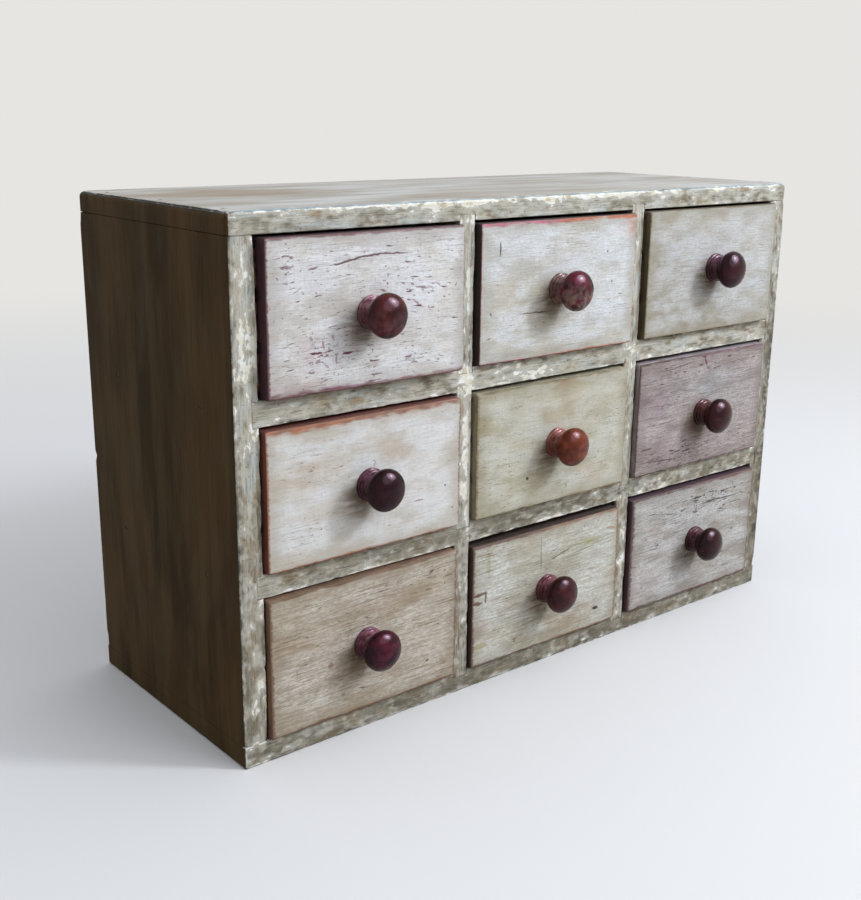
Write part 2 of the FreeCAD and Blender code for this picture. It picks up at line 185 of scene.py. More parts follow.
# Colours and wear of each drawer. What isn't given has its default from above.
DRAWER_COLOURS = {
    ("top", "left"): dict(
        pale="e9eceb", wash="dcdbd4", streak="a39b92", chalk="e6e9ee", fleck="5f2c3c", brushed=1.0,
        edge="6d3048", far_edge="80555a", ends="3d1a24",
        knob="541f1a", knob_deep="2c0f0a", collar="a8808a", scuffed=0.14),
    ("top", "centre"): dict(
        pale="dce1e3", wash="d6d6cf", streak="9b9584", chalk="e4eaf0", fleck="5a463f", brushed=1.25,
        edge="c2617e", far_edge="c4683f", ends="2e1c17",
        knob="5c1626", knob_deep="2c0c12", collar="8a7468", scuffed=0.80),
    ("top", "right"): dict(
        pale="c8cdd2", wash="bfc0bb", streak="948b74", chalk="ced2d4", fleck="70685a", brushed=1.3,
        edge="8b836b", far_edge="8a8470", ends="5e5038",
        knob="38171a", knob_deep="1e0b0c", collar="7c5864", scuffed=0.05),
    ("middle", "left"): dict(
        pale="dddcd8", wash="d0cdc4", streak="a89d8a", chalk="e2e6e8", fleck="7e6850", brushed=0.7,
        edge="a8603c", far_edge="99604a", ends="6f3a2c",
        knob="280a0c", knob_deep="130404", collar="7c5060", scuffed=0.03),
    ("middle", "centre"): dict(
        pale="c6c6b8", wash="b9b39c", streak="948c72", chalk="d0d1c8", fleck="635b46", brushed=0.8,
        edge="857c5c", far_edge="8b7a5a", ends="9a9278",
        knob="783a20", knob_deep="50220f", collar="a87068", scuffed=0.12),
    ("middle", "right"): dict(
        pale="b9b1ae", wash="aca29f", streak="786c66", chalk="c2bcb8", fleck="402a38", brushed=1.8,
        edge="452634", far_edge="80586a", ends="a0969a",
        knob="38140f", knob_deep="200b08", collar="704a48", scuffed=0.08),
    ("bottom", "left"): dict(
        pale="d8d4c9", wash="c5beac", streak="8b7c66", chalk="d4cec3", fleck="5f4537", brushed=1.9,
        edge="6c4a36", far_edge="7b5643", ends="806048",
        knob="4a1020", knob_deep="1e060c", collar="94606e", scuffed=0.12),
    ("bottom", "centre"): dict(
        pale="d5d5cd", wash="c1bbab", streak="8f8670", chalk="dde1db", fleck="4c4738", brushed=1.7,
        edge="633e3c", far_edge="95694f", ends="3c2a20",
        knob="421a14", knob_deep="240a08", collar="8a585e", scuffed=0.10),
    ("bottom", "right"): dict(
        pale="c6c5c0", wash="b4aea6", streak="7d756a", chalk="d4d6d6", fleck="382b2f", brushed=1.6,
        edge="482636", far_edge="703e4a", ends="4a2c38",
        knob="30120f", knob_deep="1a0908", collar="6c484e", scuffed=0.08),
}

# Stains of each drawer front, soft at their rims: colour, place as shares of the width and height from the
# lower left corner, reach as shares, strength.
STAINS = {
    ("top", "left"): [
        ("9f6f7c", 0.08, 0.03, 0.16, 0.05, 0.8), ("8d4f66", 0.38, 0.02, 0.05, 0.03, 0.7),
        ("e8e6ea", 0.62, 0.40, 0.22, 0.20, 0.5), ("bfa0ac", 0.22, 0.25, 0.09, 0.13, 0.45),
        ("c9bfb2", 0.20, 0.62, 0.25, 0.20, 0.4),
    ],
    ("top", "centre"): [
        ("bdb294", 0.26, 0.46, 0.24, 0.20, 0.7), ("b5a781", 0.42, 0.10, 0.32, 0.12, 0.6),
        ("c4663f", 0.96, 0.92, 0.05, 0.07, 0.85), ("e4e9ee", 0.15, 0.92, 0.30, 0.10, 0.6),
    ],
    ("top", "right"): [
        ("8f8779", 0.32, 0.05, 0.60, 0.15, 0.85), ("a6a39c", 0.12, 0.25, 0.30, 0.30, 0.6),
        ("918a76", 0.03, 0.45, 0.10, 0.60, 0.75), ("d8d3dc", 0.46, 0.66, 0.12, 0.14, 0.6),
        ("dcdcdc", 0.85, 0.70, 0.20, 0.25, 0.5), ("b8b2a2", 0.55, 0.88, 0.30, 0.08, 0.4),
    ],
    ("middle", "left"): [
        ("c9ac93", 0.68, 0.72, 0.14, 0.09, 0.5), ("d0bea8", 0.20, 0.68, 0.20, 0.14, 0.35),
        ("e6e8e8", 0.80, 0.45, 0.20, 0.25, 0.6), ("b8a68a", 0.40, 0.32, 0.20, 0.12, 0.3),
    ],
    ("middle", "centre"): [
        ("8f8660", 0.01, 0.50, 0.07, 0.60, 0.8), ("bda88b", 0.60, 0.75, 0.30, 0.15, 0.5),
        ("c59c86", 0.75, 0.14, 0.10, 0.08, 0.5), ("a8604a", 0.56, 0.97, 0.06, 0.03, 0.7),
        ("d6d6c8", 0.15, 0.45, 0.13, 0.25, 0.6), ("d0d0c2", 0.93, 0.45, 0.06, 0.25, 0.5),
    ],
    ("middle", "right"): [
        ("b8bcbc", 0.55, 0.70, 0.20, 0.13, 1.0), ("b4adab", 0.82, 0.50, 0.18, 0.24, 0.7),
        ("97808e", 0.22, 0.60, 0.16, 0.26, 0.5), ("6c4d63", 0.06, 0.66, 0.05, 0.03, 0.7),
        ("8d7076", 0.25, 0.15, 0.30, 0.12, 0.5),
    ],
    ("bottom", "left"): [
        ("d2cabd", 0.45, 0.88, 0.25, 0.12, 0.6), ("d2c8bb", 0.20, 0.38, 0.18, 0.08, 0.6),
        ("a58a70", 0.75, 0.72, 0.25, 0.10, 0.6), ("8a6350", 0.36, 0.33, 0.08, 0.08, 0.5),
        ("a5886e", 0.15, 0.62, 0.20, 0.08, 0.6),
    ],
    ("bottom", "centre"): [
        ("a5973a", 0.06, 0.15, 0.06, 0.04, 1.1), ("84823f", 0.10, 0.80, 0.035, 0.14, 0.9),
        ("98924f", 0.80, 0.77, 0.08, 0.04, 0.9), ("a88c91", 0.04, 0.35, 0.05, 0.18, 0.6),
        ("c0c2ae", 0.50, 0.55, 0.30, 0.25, 0.4), ("b09a86", 0.55, 0.12, 0.40, 0.10, 0.5),
    ],
    ("bottom", "right"): [
        ("c0b0b2", 0.12, 0.20, 0.15, 0.24, 0.5), ("dad9d6", 0.30, 0.45, 0.20, 0.20, 0.5),
        ("a39484", 0.70, 0.10, 0.40, 0.12, 0.4), ("a06a50", 0.17, 0.70, 0.03, 0.02, 0.6),
    ],
}

# Where old paint shows through in flecks: place, reach and strength as above.
FLECKED = {
    ("top", "left"): [
        (0.5, 0.5, 1.2, 1.2, 0.33), (0.25, 0.25, 0.13, 0.16, 0.34), (0.52, 0.14, 0.03, 0.16, 0.6),
        (0.71, 0.12, 0.03, 0.13, 0.5), (0.10, 0.82, 0.04, 0.16, 0.5), (0.80, 0.62, 0.18, 0.14, 0.26),
    ],
    ("top", "centre"): [(0.4, 0.3, 0.9, 0.4, 0.20), (0.6, 0.8, 0.5, 0.06, 0.32)],
    ("top", "right"): [(0.5, 0.5, 1.0, 1.0, 0.05)],
    ("middle", "left"): [(0.5, 0.3, 1.0, 0.5, 0.12)],
    ("middle", "centre"): [(0.5, 0.5, 1.0, 1.0, 0.14)],
    ("middle", "right"): [
        (0.4, 0.12, 0.5, 0.14, 0.5), (0.4, 0.9, 0.4, 0.10, 0.4), (0.5, 0.5, 1.0, 1.0, 0.2),
    ],
    ("bottom", "left"): [(0.6, 0.5, 1.0, 1.0, 0.22), (0.9, 0.85, 0.12, 0.08, 0.35)],
    ("bottom", "centre"): [(0.5, 0.5, 1.0, 1.0, 0.17), (0.55, 0.75, 0.12, 0.05, 0.3)],
    ("bottom", "right"): [
        (0.66, 0.86, 0.40, 0.10, 0.55), (0.75, 0.70, 0.30, 0.05, 0.3), (0.4, 0.75, 0.3, 0.1, 0.3),
        (0.5, 0.5, 1.0, 1.0, 0.12),
    ],
}

# Small single marks: place as shares, length and width in millimetres, turn in degrees, colour, strength.
MARKS = {
    ("top", "left"): [
        (0.380, 0.822, 24, 1.3, 9, "5b2a38", 0.9), (0.490, 0.846, 22, 1.4, 4, "5b2a38", 0.9),
        (0.609, 0.850, 26, 1.2, -2, "5b2a38", 0.85), (0.22, 0.795, 8, 1.4, 14, "6d3344", 0.8),
        (0.38, 0.24, 9, 1.8, 3, "6d3344", 0.9), (0.205, 0.36, 4, 1.8, -55, "7a4258", 0.5),
        (0.262, 0.31, 6, 1.8, -76, "7a4258", 0.6), (0.235, 0.21, 4, 2.0, 40, "6d3344", 0.6),
        (0.310, 0.35, 4, 1.6, -70, "7a4258", 0.5), (0.325, 0.21, 6, 1.8, 84, "7a4258", 0.55),
        (0.280, 0.17, 4, 1.8, -40, "7a4258", 0.5), (0.29, 0.27, 3, 2.0, 60, "6d3344", 0.5),
        (0.76, 0.61, 11, 1.5, -6, "6d3344", 0.7), (0.73, 0.52, 6, 1.4, -30, "6d3344", 0.6),
    ],
    ("top", "centre"): [
        (0.112, 0.815, 1.4, 10.5, 0, "43423f", 0.95), (0.33, 0.338, 34, 0.8, 0, "4f463d", 0.85),
        (0.36, 0.335, 10, 1.4, -3, "4f463d", 0.8), (0.063, 0.36, 2.0, 3.0, 25, "5d564d", 0.7),
        (0.80, 0.735, 2.0, 1.6, 0, "5d4a44", 0.8), (0.90, 0.40, 5.0, 0.9, 0, "5d564d", 0.7),
        (0.055, 0.19, 3.5, 1.2, 10, "6b3a3a", 0.7), (0.84, 0.50, 1.6, 1.6, 0, "55504a", 0.7),
    ],
    ("top", "right"): [],
    ("middle", "left"): [
        (0.765, 0.28, 8.5, 1.0, -3, "7a5a40", 0.85), (0.915, 0.35, 1.6, 1.6, 0, "55503f", 0.8),
        (0.53, 0.63, 1.2, 4.0, -20, "a0705c", 0.6),
    ],
    ("middle", "centre"): [
        (0.325, 0.245, 2.6, 2.4, 0, "3f3a2f", 0.9), (0.59, 0.11, 1.5, 4.0, 5, "6d6548", 0.6),
    ],
    ("middle", "right"): [
        (0.510, 0.93, 1.8, 9.0, 28, "5d2f44", 0.9), (0.497, 0.968, 6.0, 1.6, -4, "5d2f44", 0.8),
        (0.22, 0.10, 42, 1.2, -4, "4c3640", 0.75), (0.08, 0.235, 14, 1.6, 2, "4c3640", 0.7),
        (0.30, 0.92, 34, 1.0, 6, "57404a", 0.65), (0.78, 0.88, 30, 0.8, 3, "7a4048", 0.6),
    ],
    ("bottom", "left"): [
        (0.85, 0.885, 5.0, 2.0, 30, "5d4032", 0.8), (0.95, 0.82, 8.0, 1.2, 2, "6a4a3c", 0.7),
        (0.83, 0.20, 2.4, 2.0, 0, "4f3a30", 0.8), (0.30, 0.41, 5.0, 4.0, 20, "7a5a45", 0.6),
    ],
    ("bottom", "centre"): [
        (0.445, 0.78, 1.2, 28, 1, "5b6048", 0.55), (0.58, 0.74, 24, 0.9, 14, "4a4838", 0.75),
        (0.85, 0.155, 7.0, 3.0, -8, "2f2f26", 0.95), (0.28, 0.11, 2.2, 2.0, 0, "4f6040", 0.7),
        (0.045, 0.60, 15, 2.4, 2, "5a3c2e", 0.85), (0.035, 0.53, 10, 2.6, -4, "5a3c2e", 0.85),
        (0.085, 0.565, 2.2, 10.0, 0, "5a3c2e", 0.75), (0.74, 0.72, 26, 0.8, 6, "6b6448", 0.6),
        (0.055, 0.17, 14, 5.0, 0, "9c9048", 0.42), (0.10, 0.84, 3.4, 20, 4, "84823f", 0.30),
        (0.81, 0.78, 17, 4.0, 6, "98924f", 0.40), (0.94, 0.84, 10, 2.4, -10, "a0703f", 0.45),
    ],
    ("bottom", "right"): [
        (0.73, 0.80, 44, 1.4, -2, "3a3236", 0.8), (0.52, 0.87, 20, 1.0, 3, "4a3a40", 0.7),
        (0.86, 0.73, 24, 0.9, 0, "4a3a40", 0.65), (0.84, 0.47, 3.0, 1.8, 0, "4a443f", 0.8),
        (0.62, 0.80, 18, 1.2, 2, "3a3236", 0.7),
    ],
}

# How much the figure of a board arches over its knob: the drop at 10 mm aside, in millimetres.
ARCH = {("top", "left"): 0.12, ("bottom", "left"): 0.04, ("middle", "right"): -0.03}
PLAIN_ARCH = 0.02     # of the other boards

# How wide the old paint shows along the top, bottom, left and right edges, in millimetres.
WORN_EDGES = {
    ("top", "left"): (1.8, 2.8, 1.8, 0.9),
    ("top", "centre"): (3.0, 1.4, 0.8, 1.2),
    ("top", "right"): (1.2, 1.2, 1.6, 1.2),
    ("middle", "left"): (4.2, 1.6, 1.8, 1.6),
    ("middle", "centre"): (1.6, 1.6, 2.6, 1.2),
    ("middle", "right"): (2.2, 1.6, 2.0, 1.4),
    ("bottom", "left"): (2.2, 2.2, 2.4, 2.6),
    ("bottom", "centre"): (2.4, 2.0, 2.2, 2.2),
    ("bottom", "right"): (2.2, 2.0, 3.6, 1.6),
}
DRY_MARGIN = (9, 9, 11, 9)           # the same of the margin where the brush ran dry
DIRT_AND_SHADE_RIM = (0.7, 0.7, 0.7, 0.7)     # and of the soiling and painted shade on the very edges

# Places on the carcass front where the paint has flaked to its cream undercoat: x, z, reach along x and
# along z in millimetres, strength.
FLAKED = [
    (-309, 372, 9, 45, 0.28), (-308, 322, 10, 16, 0.26), (-311, 275, 7, 28, 0.20),
    (-312, 240, 6, 14, 0.20), (-313, 180, 6, 14, 0.22), (-312, 150, 7, 10, 0.22), (-305, 62, 6, 26, 0.40),
    (-310, 120, 6, 20, 0.10), (-138, 416, 13, 7, 0.24), (0, 423.5, 330, 3.5, 0.46),
    (0, 409, 330, 2, 0.10), (305, 405, 12, 14, 0.24), (315, 340, 5, 40, 0.26), (303, 300, 5, 14, 0.10),
    (316, 180, 4, 60, 0.12), (316, 80, 4, 50, 0.14), (-102, 281, 14, 9, 0.36), (-30, 276, 42, 6, 0.40),
    (102, 281, 14, 8, 0.36), (-60, 284, 20, 5, 0.20), (190, 276, 40, 5, 0.14), (100, 140, 60, 4, 0.18),
    (-190, 140, 60, 4, 0.20), (170, 148, 40, 5, 0.18), (314, 200, 8, 230, -0.36), (0, 8, 320, 9, -0.16),
    (0, 145, 300, 9, -0.06), (-302, 139, 12, 6, 0.24), (0, 139, 60, 3, 0.20), (-250, 10, 40, 7, 0.16),
    (40, 5, 200, 3, 0.14), (-98, 350, 6, 55, 0.56), (-98, 215, 7, 56, 0.60), (-98, 80, 5, 60, 0.22),
    (102, 340, 5, 60, 0.22), (103, 210, 4, 55, 0.20), (103, 80, 4, 55, 0.24), (-314, 12, 9, 10, 0.16),
]

# Dark places on the carcass front, given in the same way: soiling, and painted shade on the lower rails and
# the right stile.
DIRT_AND_SHADE_PLACES = [
    (314, 190, 12, 190, 0.90), (0, 6, 300, 12, 0.60), (60, 146, 260, 7, 0.65), (0, 415, 320, 4, 0.26),
    (-250, 414, 50, 4, 0.22), (0, 279, 300, 5, 0.16), (-305, 16, 14, 14, 0.5), (-190, 419, 14, 5, 0.5),
    (-288, 420, 18, 5, 0.4), (-98, 302, 6, 10, 0.6), (315, 316, 5, 5, 0.8), (314, 60, 5, 7, 0.8),
    (-317, 200, 3, 200, 0.5), (210, 419, 40, 4, 0.4), (319, 190, 3, 190, 0.7),
]


# ---- node tool ----
TIMES = {"operation": "MULTIPLY"}
TIMES_PLUS = {"operation": "MULTIPLY_ADD"}      # the first input times the second, plus the third
GREATER = {"operation": "MAXIMUM"}
SMOOTH = {"interpolation_type": "SMOOTHSTEP"}   # 0 at the second input and 1 at the third, smooth between


def add(tree, kind, inputs=(), **settings):
    """Add a shader node with its settings, and set or link its inputs, given by name or in their order. A
    node given as an input is read at its first output in use."""
    made = tree.nodes.new("ShaderNode" + kind)
    for name, value in settings.items():
        setattr(made, name, value)
    sockets = [s for s in made.inputs if s.enabled]
    if isinstance(inputs, dict):
        sockets = [next(s for s in sockets if name in (s.name, s.identifier)) for name in inputs]
        inputs = inputs.values()
    for socket, value in zip(sockets, inputs):
        if isinstance(value, bpy.types.Node):
            value = next(s for s in value.outputs if s.enabled)
        if isinstance(value, bpy.types.NodeSocket):
            tree.links.new(value, socket)
        else:
            socket.default_value = value
    return made


def empty_tree(name):
    """A new material and its empty node tree."""
    material = bpy.data.materials.new(name)
    material.use_nodes = True
    material.node_tree.nodes.clear()
    return material, material.node_tree


def close(material, coat, roughness, height=None, depth=0.2, specular=0.5, **shader):
    """End a material in its shader: its colour, and the height of its relief and its depth in millimetres."""
    tree = material.node_tree
    inputs = {"Base Color": coat, "Roughness": roughness, "Specular IOR Level": specular, **shader}
    if height is not None:
        inputs["Normal"] = add(tree, "Bump", {"Height": height, "Distance": depth * MM, "Strength": 0.8})
    add(tree, "OutputMaterial", {"Surface": add(tree, "BsdfPrincipled", inputs)})
    return material


def whereabouts(tree):
    """The x, y and z of each point, in metres."""
    return add(tree, "SeparateXYZ", [add(tree, "TexCoord").outputs["Object"]]).outputs


def lying(axis, long, wide):
    """The size of grains that lie along an axis."""
    return [long if k == axis else wide for k in range(3)]


def cloud(tree, size, detail=3.0, shift=(0, 0, 0), turn=(0, 0, 0), distortion=0.0, space=None):
    """Noise about 0.5 whose grains have the given size in millimetres along x, y and z."""
    if space is None:
        space = add(tree, "TexCoord").outputs["Object"]
    scale = [1 / (s * MM) for s in size]
    place = add(tree, "Mapping", {"Vector": space, "Scale": scale, "Rotation": turn, "Location": shift})
    return add(tree, "TexNoise", {"Vector": place, "Scale": 1.0, "Detail": detail, "Distortion": distortion})


def field(tree, size, low, high, **how):
    """Noise of the given grain size, spread from 0 at low to 1 at high."""
    return add(tree, "MapRange", [cloud(tree, size, **how), low, high], **SMOOTH)


def ragged(tree, base, broken, weight, low, high):
    """A field whose rim noise breaks up: 0 where base + weight * broken is low, and 1 where it is high."""
    total = add(tree, "Math", [broken, weight, base], **TIMES_PLUS)
    return add(tree, "MapRange", [total, low, high], **SMOOTH)


def coats(tree, first, *layers):
    """Colours laid over a first one, in their order. A layer is the numbers whose product is how far it
    covers, and then its colour."""
    coat = first
    for cover, *more, over in layers:
        for share in more:
            cover = add(tree, "Math", [cover, share], **TIMES)
        coat = add(tree, "Mix", [cover, coat, over], data_type="RGBA")
    return coat


# ---- finishes ----
def flaking_paint(name, along, finish):
    """Old oil paint on pine, brushed along the board and gone chalky in veils. It has flaked to a cream
    undercoat with broken rims, and the cabinet's arrises are rubbed to an older blue-green coat. The mesh
    carries how far each has gone."""
    material, tree = empty_tree(name)
    grain = field(tree, lying(along, 26, 1.3), 0.42, 0.64, detail=4)
    clouds = field(tree, lying(along, 38, 16), 0.36, 0.64, detail=4, shift=(9, 4, 2))
    mottle = field(tree, lying(along, 18, 6), 0.49, 0.64, detail=4, shift=(2, 9, 5))
    veil = field(tree, lying(along, 30, 12), 0.48, 0.66, detail=4, shift=(5, 2, 9))
    smudge = field(tree, lying(along, 22, 8), 0.48, 0.64, detail=4, shift=(7, 7, 3))
    rust = field(tree, lying(along, 24, 9), 0.53, 0.68, detail=4, shift=(1, 2, 8))
    pits = field(tree, (1.8, 1.8, 1.8), 0.64, 0.70, detail=2, shift=(5, 5, 1))
    cracks = field(tree, lying(along, 20, 1.0), 0.60, 0.65, shift=(8, 3, 5))
    blotch = field(tree, (9, 9, 9), 0.30, 0.6, detail=4, shift=(1, 8, 3))
    # The mesh's dark attribute is soiling, and painted shade inside the openings, at their edges and on the
    # lower rails.
    grime = add(tree, "Attribute", attribute_name="grime").outputs["Fac"]
    # Darker and less chalky towards the bottom: soiling, and painted shade where the light falls off
    # downwards.
    low_down = add(tree, "MapRange", [whereabouts(tree)["Z"], 270 * MM, 100 * MM], **SMOOTH)
    veiled = add(tree, "Math", [low_down, -0.50, 0.80], **TIMES_PLUS)
    mottled = add(tree, "Math", [low_down, -0.40, 0.80], **TIMES_PLUS)

    broken = cloud(tree, lying(along, 5.0, 2.6), detail=4, shift=(4, 2, 6))
    crust = add(tree, "Attribute", attribute_name="crust").outputs["Fac"]
    thin = ragged(tree, crust, broken, 0.9, 0.50, 0.90)
    # A thin dark ring round each flake: soiling at its broken edge, and painted shade of its raised rim.
    rim = ragged(tree, crust, broken, 0.9, 0.82, 0.92)
    chip = ragged(tree, crust, broken, 0.9, 0.85, 1.02)
    aged = field(tree, lying(along, 14, 7), 0.56, 0.70, shift=(2, 7, 7))
    chalky = field(tree, lying(along, 8, 5), 0.45, 0.6, shift=(8, 1, 2))
    bare = coats(tree, finish.chip, (aged, finish.chip_aged), (chalky, finish.chip_chalky))
    patchy = field(tree, lying(along, 9, 5), 0.34, 0.56, detail=4, shift=(6, 3, 8))
    rubbed = rubbed_through(tree, patchy, 0.35, 0.6)

    coat = coats(
        tree, finish.paint,
        (clouds, finish.paint_pale),
        (smudge, 0.85, finish.paint_deep),
        (rust, 0.6, finish.paint_warm),
        (veil, veiled, finish.veil),
        (mottle, mottled, finish.cream),
        # Painted shade and soiling towards the bottom.
        (low_down, 0.45, finish.paint_deep),
        (grain, 0.32, finish.paint_deep),
        (cracks, 0.6, finish.grime),
        (pits, 0.7, finish.grime),
        (grime, blotch, 0.9, finish.grime),
        (thin, 0.6, finish.cream),
        (rim, 0.25, finish.grime),
        (chip, 0.94, bare),
        (rubbed, 0.6, finish.rubbed),
    )
    height = add(tree, "Math", [grain, 0.25], **TIMES)
    for part, rise in ((chip, 0.6), (veil, 0.2), (pits, -0.4)):
        height = add(tree, "Math", [part, rise, height], **TIMES_PLUS)
    dull = add(tree, "MapRange", {"Value": grain, "To Min": 0.60, "To Max": 0.80})
    return close(material, coat, dull, height, 0.45, specular=0.15)


def rubbed_through(tree, patchy, low, high):
    """How far each point is rubbed through to the coat below, in patches along the arrises. The mesh carries
    how near the arris is."""
    rub = add(tree, "Attribute", attribute_name="rub").outputs["Fac"]
    return add(tree, "MapRange", [add(tree, "Math", [rub, patchy], **TIMES), low, high], **SMOOTH)


def shaded_side_paint(name, finish):
    """Brown oil paint laid on the sides in long upright strokes, dull, and darker than the paint itself as
    painted shade: soft streaks, a few small knocks, and arrises rubbed to the older coat."""
    material, tree = empty_tree(name)
    broad = field(tree, (60, 46, 150), 0.34, 0.66, detail=5)
    strokes = field(tree, (30, 14, 110), 0.40, 0.66, detail=5, shift=(4, 4, 4))
    hairs = field(tree, (6, 2.2, 44), 0.42, 0.68, detail=4, shift=(2, 6, 1))
    greys = field(tree, (60, 30, 90), 0.50, 0.68, detail=5, shift=(5, 3, 2))
    knocks = field(tree, (6, 2.4, 6), 0.70, 0.74, shift=(8, 8, 2))
    patchy = field(tree, (7, 7, 7), 0.30, 0.5, detail=4, shift=(6, 3, 8))
    rubbed = rubbed_through(tree, patchy, 0.3, 0.6)
    coat = coats(
        tree, finish.side,
        (broad, finish.side_deep),
        (strokes, 0.40, finish.side_pale),
        (greys, 0.4, finish.side_grey),
        (hairs, 0.22, finish.side_deep),
        (knocks, 0.8, finish.grime),
        (rubbed, 0.9, finish.rubbed),
    )
    height = add(tree, "Math", [hairs, 0.3], **TIMES)
    height = add(tree, "Math", [knocks, -0.8, height], **TIMES_PLUS)
    return close(material, coat, 0.65, height, 0.25, specular=0.08)


def scrubbed_top_paint(name, finish):
    """Pale paint on the top board, scrubbed smooth and dull: faint streaks along the board, brown where
    things stood, most of it on the left, and arrises rubbed to an older blue coat."""
    material, tree = empty_tree(name)
    x = whereabouts(tree)["X"]
    stood = field(tree, (150, 70, 70), 0.36, 0.66, detail=5, shift=(3, 1, 1))
    leftward = add(tree, "MapRange", [x, 150 * MM, -250 * MM], **SMOOTH)
    more_left = add(tree, "Math", [leftward, 0.45, 0.40], **TIMES_PLUS)
    strokes = field(tree, (120, 16, 20), 0.38, 0.66, detail=5)
    hairs = field(tree, (60, 2.4, 6), 0.45, 0.65, shift=(1, 5, 5))
    spots = field(tree, (5, 5, 5), 0.72, 0.76, shift=(2, 2, 2))
    broken = cloud(tree, (8, 4, 4), detail=5, shift=(4, 2, 6))
    crust = add(tree, "Attribute", attribute_name="crust").outputs["Fac"]
    chip = ragged(tree, crust, broken, 0.9, 1.0, 1.12)
    patchy = field(tree, (24, 6, 6), 0.26, 0.5, detail=4, shift=(6, 3, 8))
    rubbed = rubbed_through(tree, patchy, 0.15, 0.40)
    past_end = add(tree, "MapRange", [x, CAD_LOW.x + 2 * MM, CAD_LOW.x + 12 * MM], **SMOOTH)
    coat = coats(
        tree, finish.top,
        (stood, more_left, finish.top_warm),
        (strokes, 0.45, finish.top_deep),
        (hairs, 0.25, finish.top_deep),
        (spots, 0.6, finish.grime),
        (chip, 0.8, finish.chip),
        (rubbed, 0.7, coats(tree, finish.rubbed, (past_end, finish.blue))),
    )
    height = add(tree, "Math", [hairs, -0.2], **TIMES)
    height = add(tree, "Math", [chip, 0.4, height], **TIMES_PLUS)
    return close(material, coat, 0.88, height, 0.25, specular=0.05)


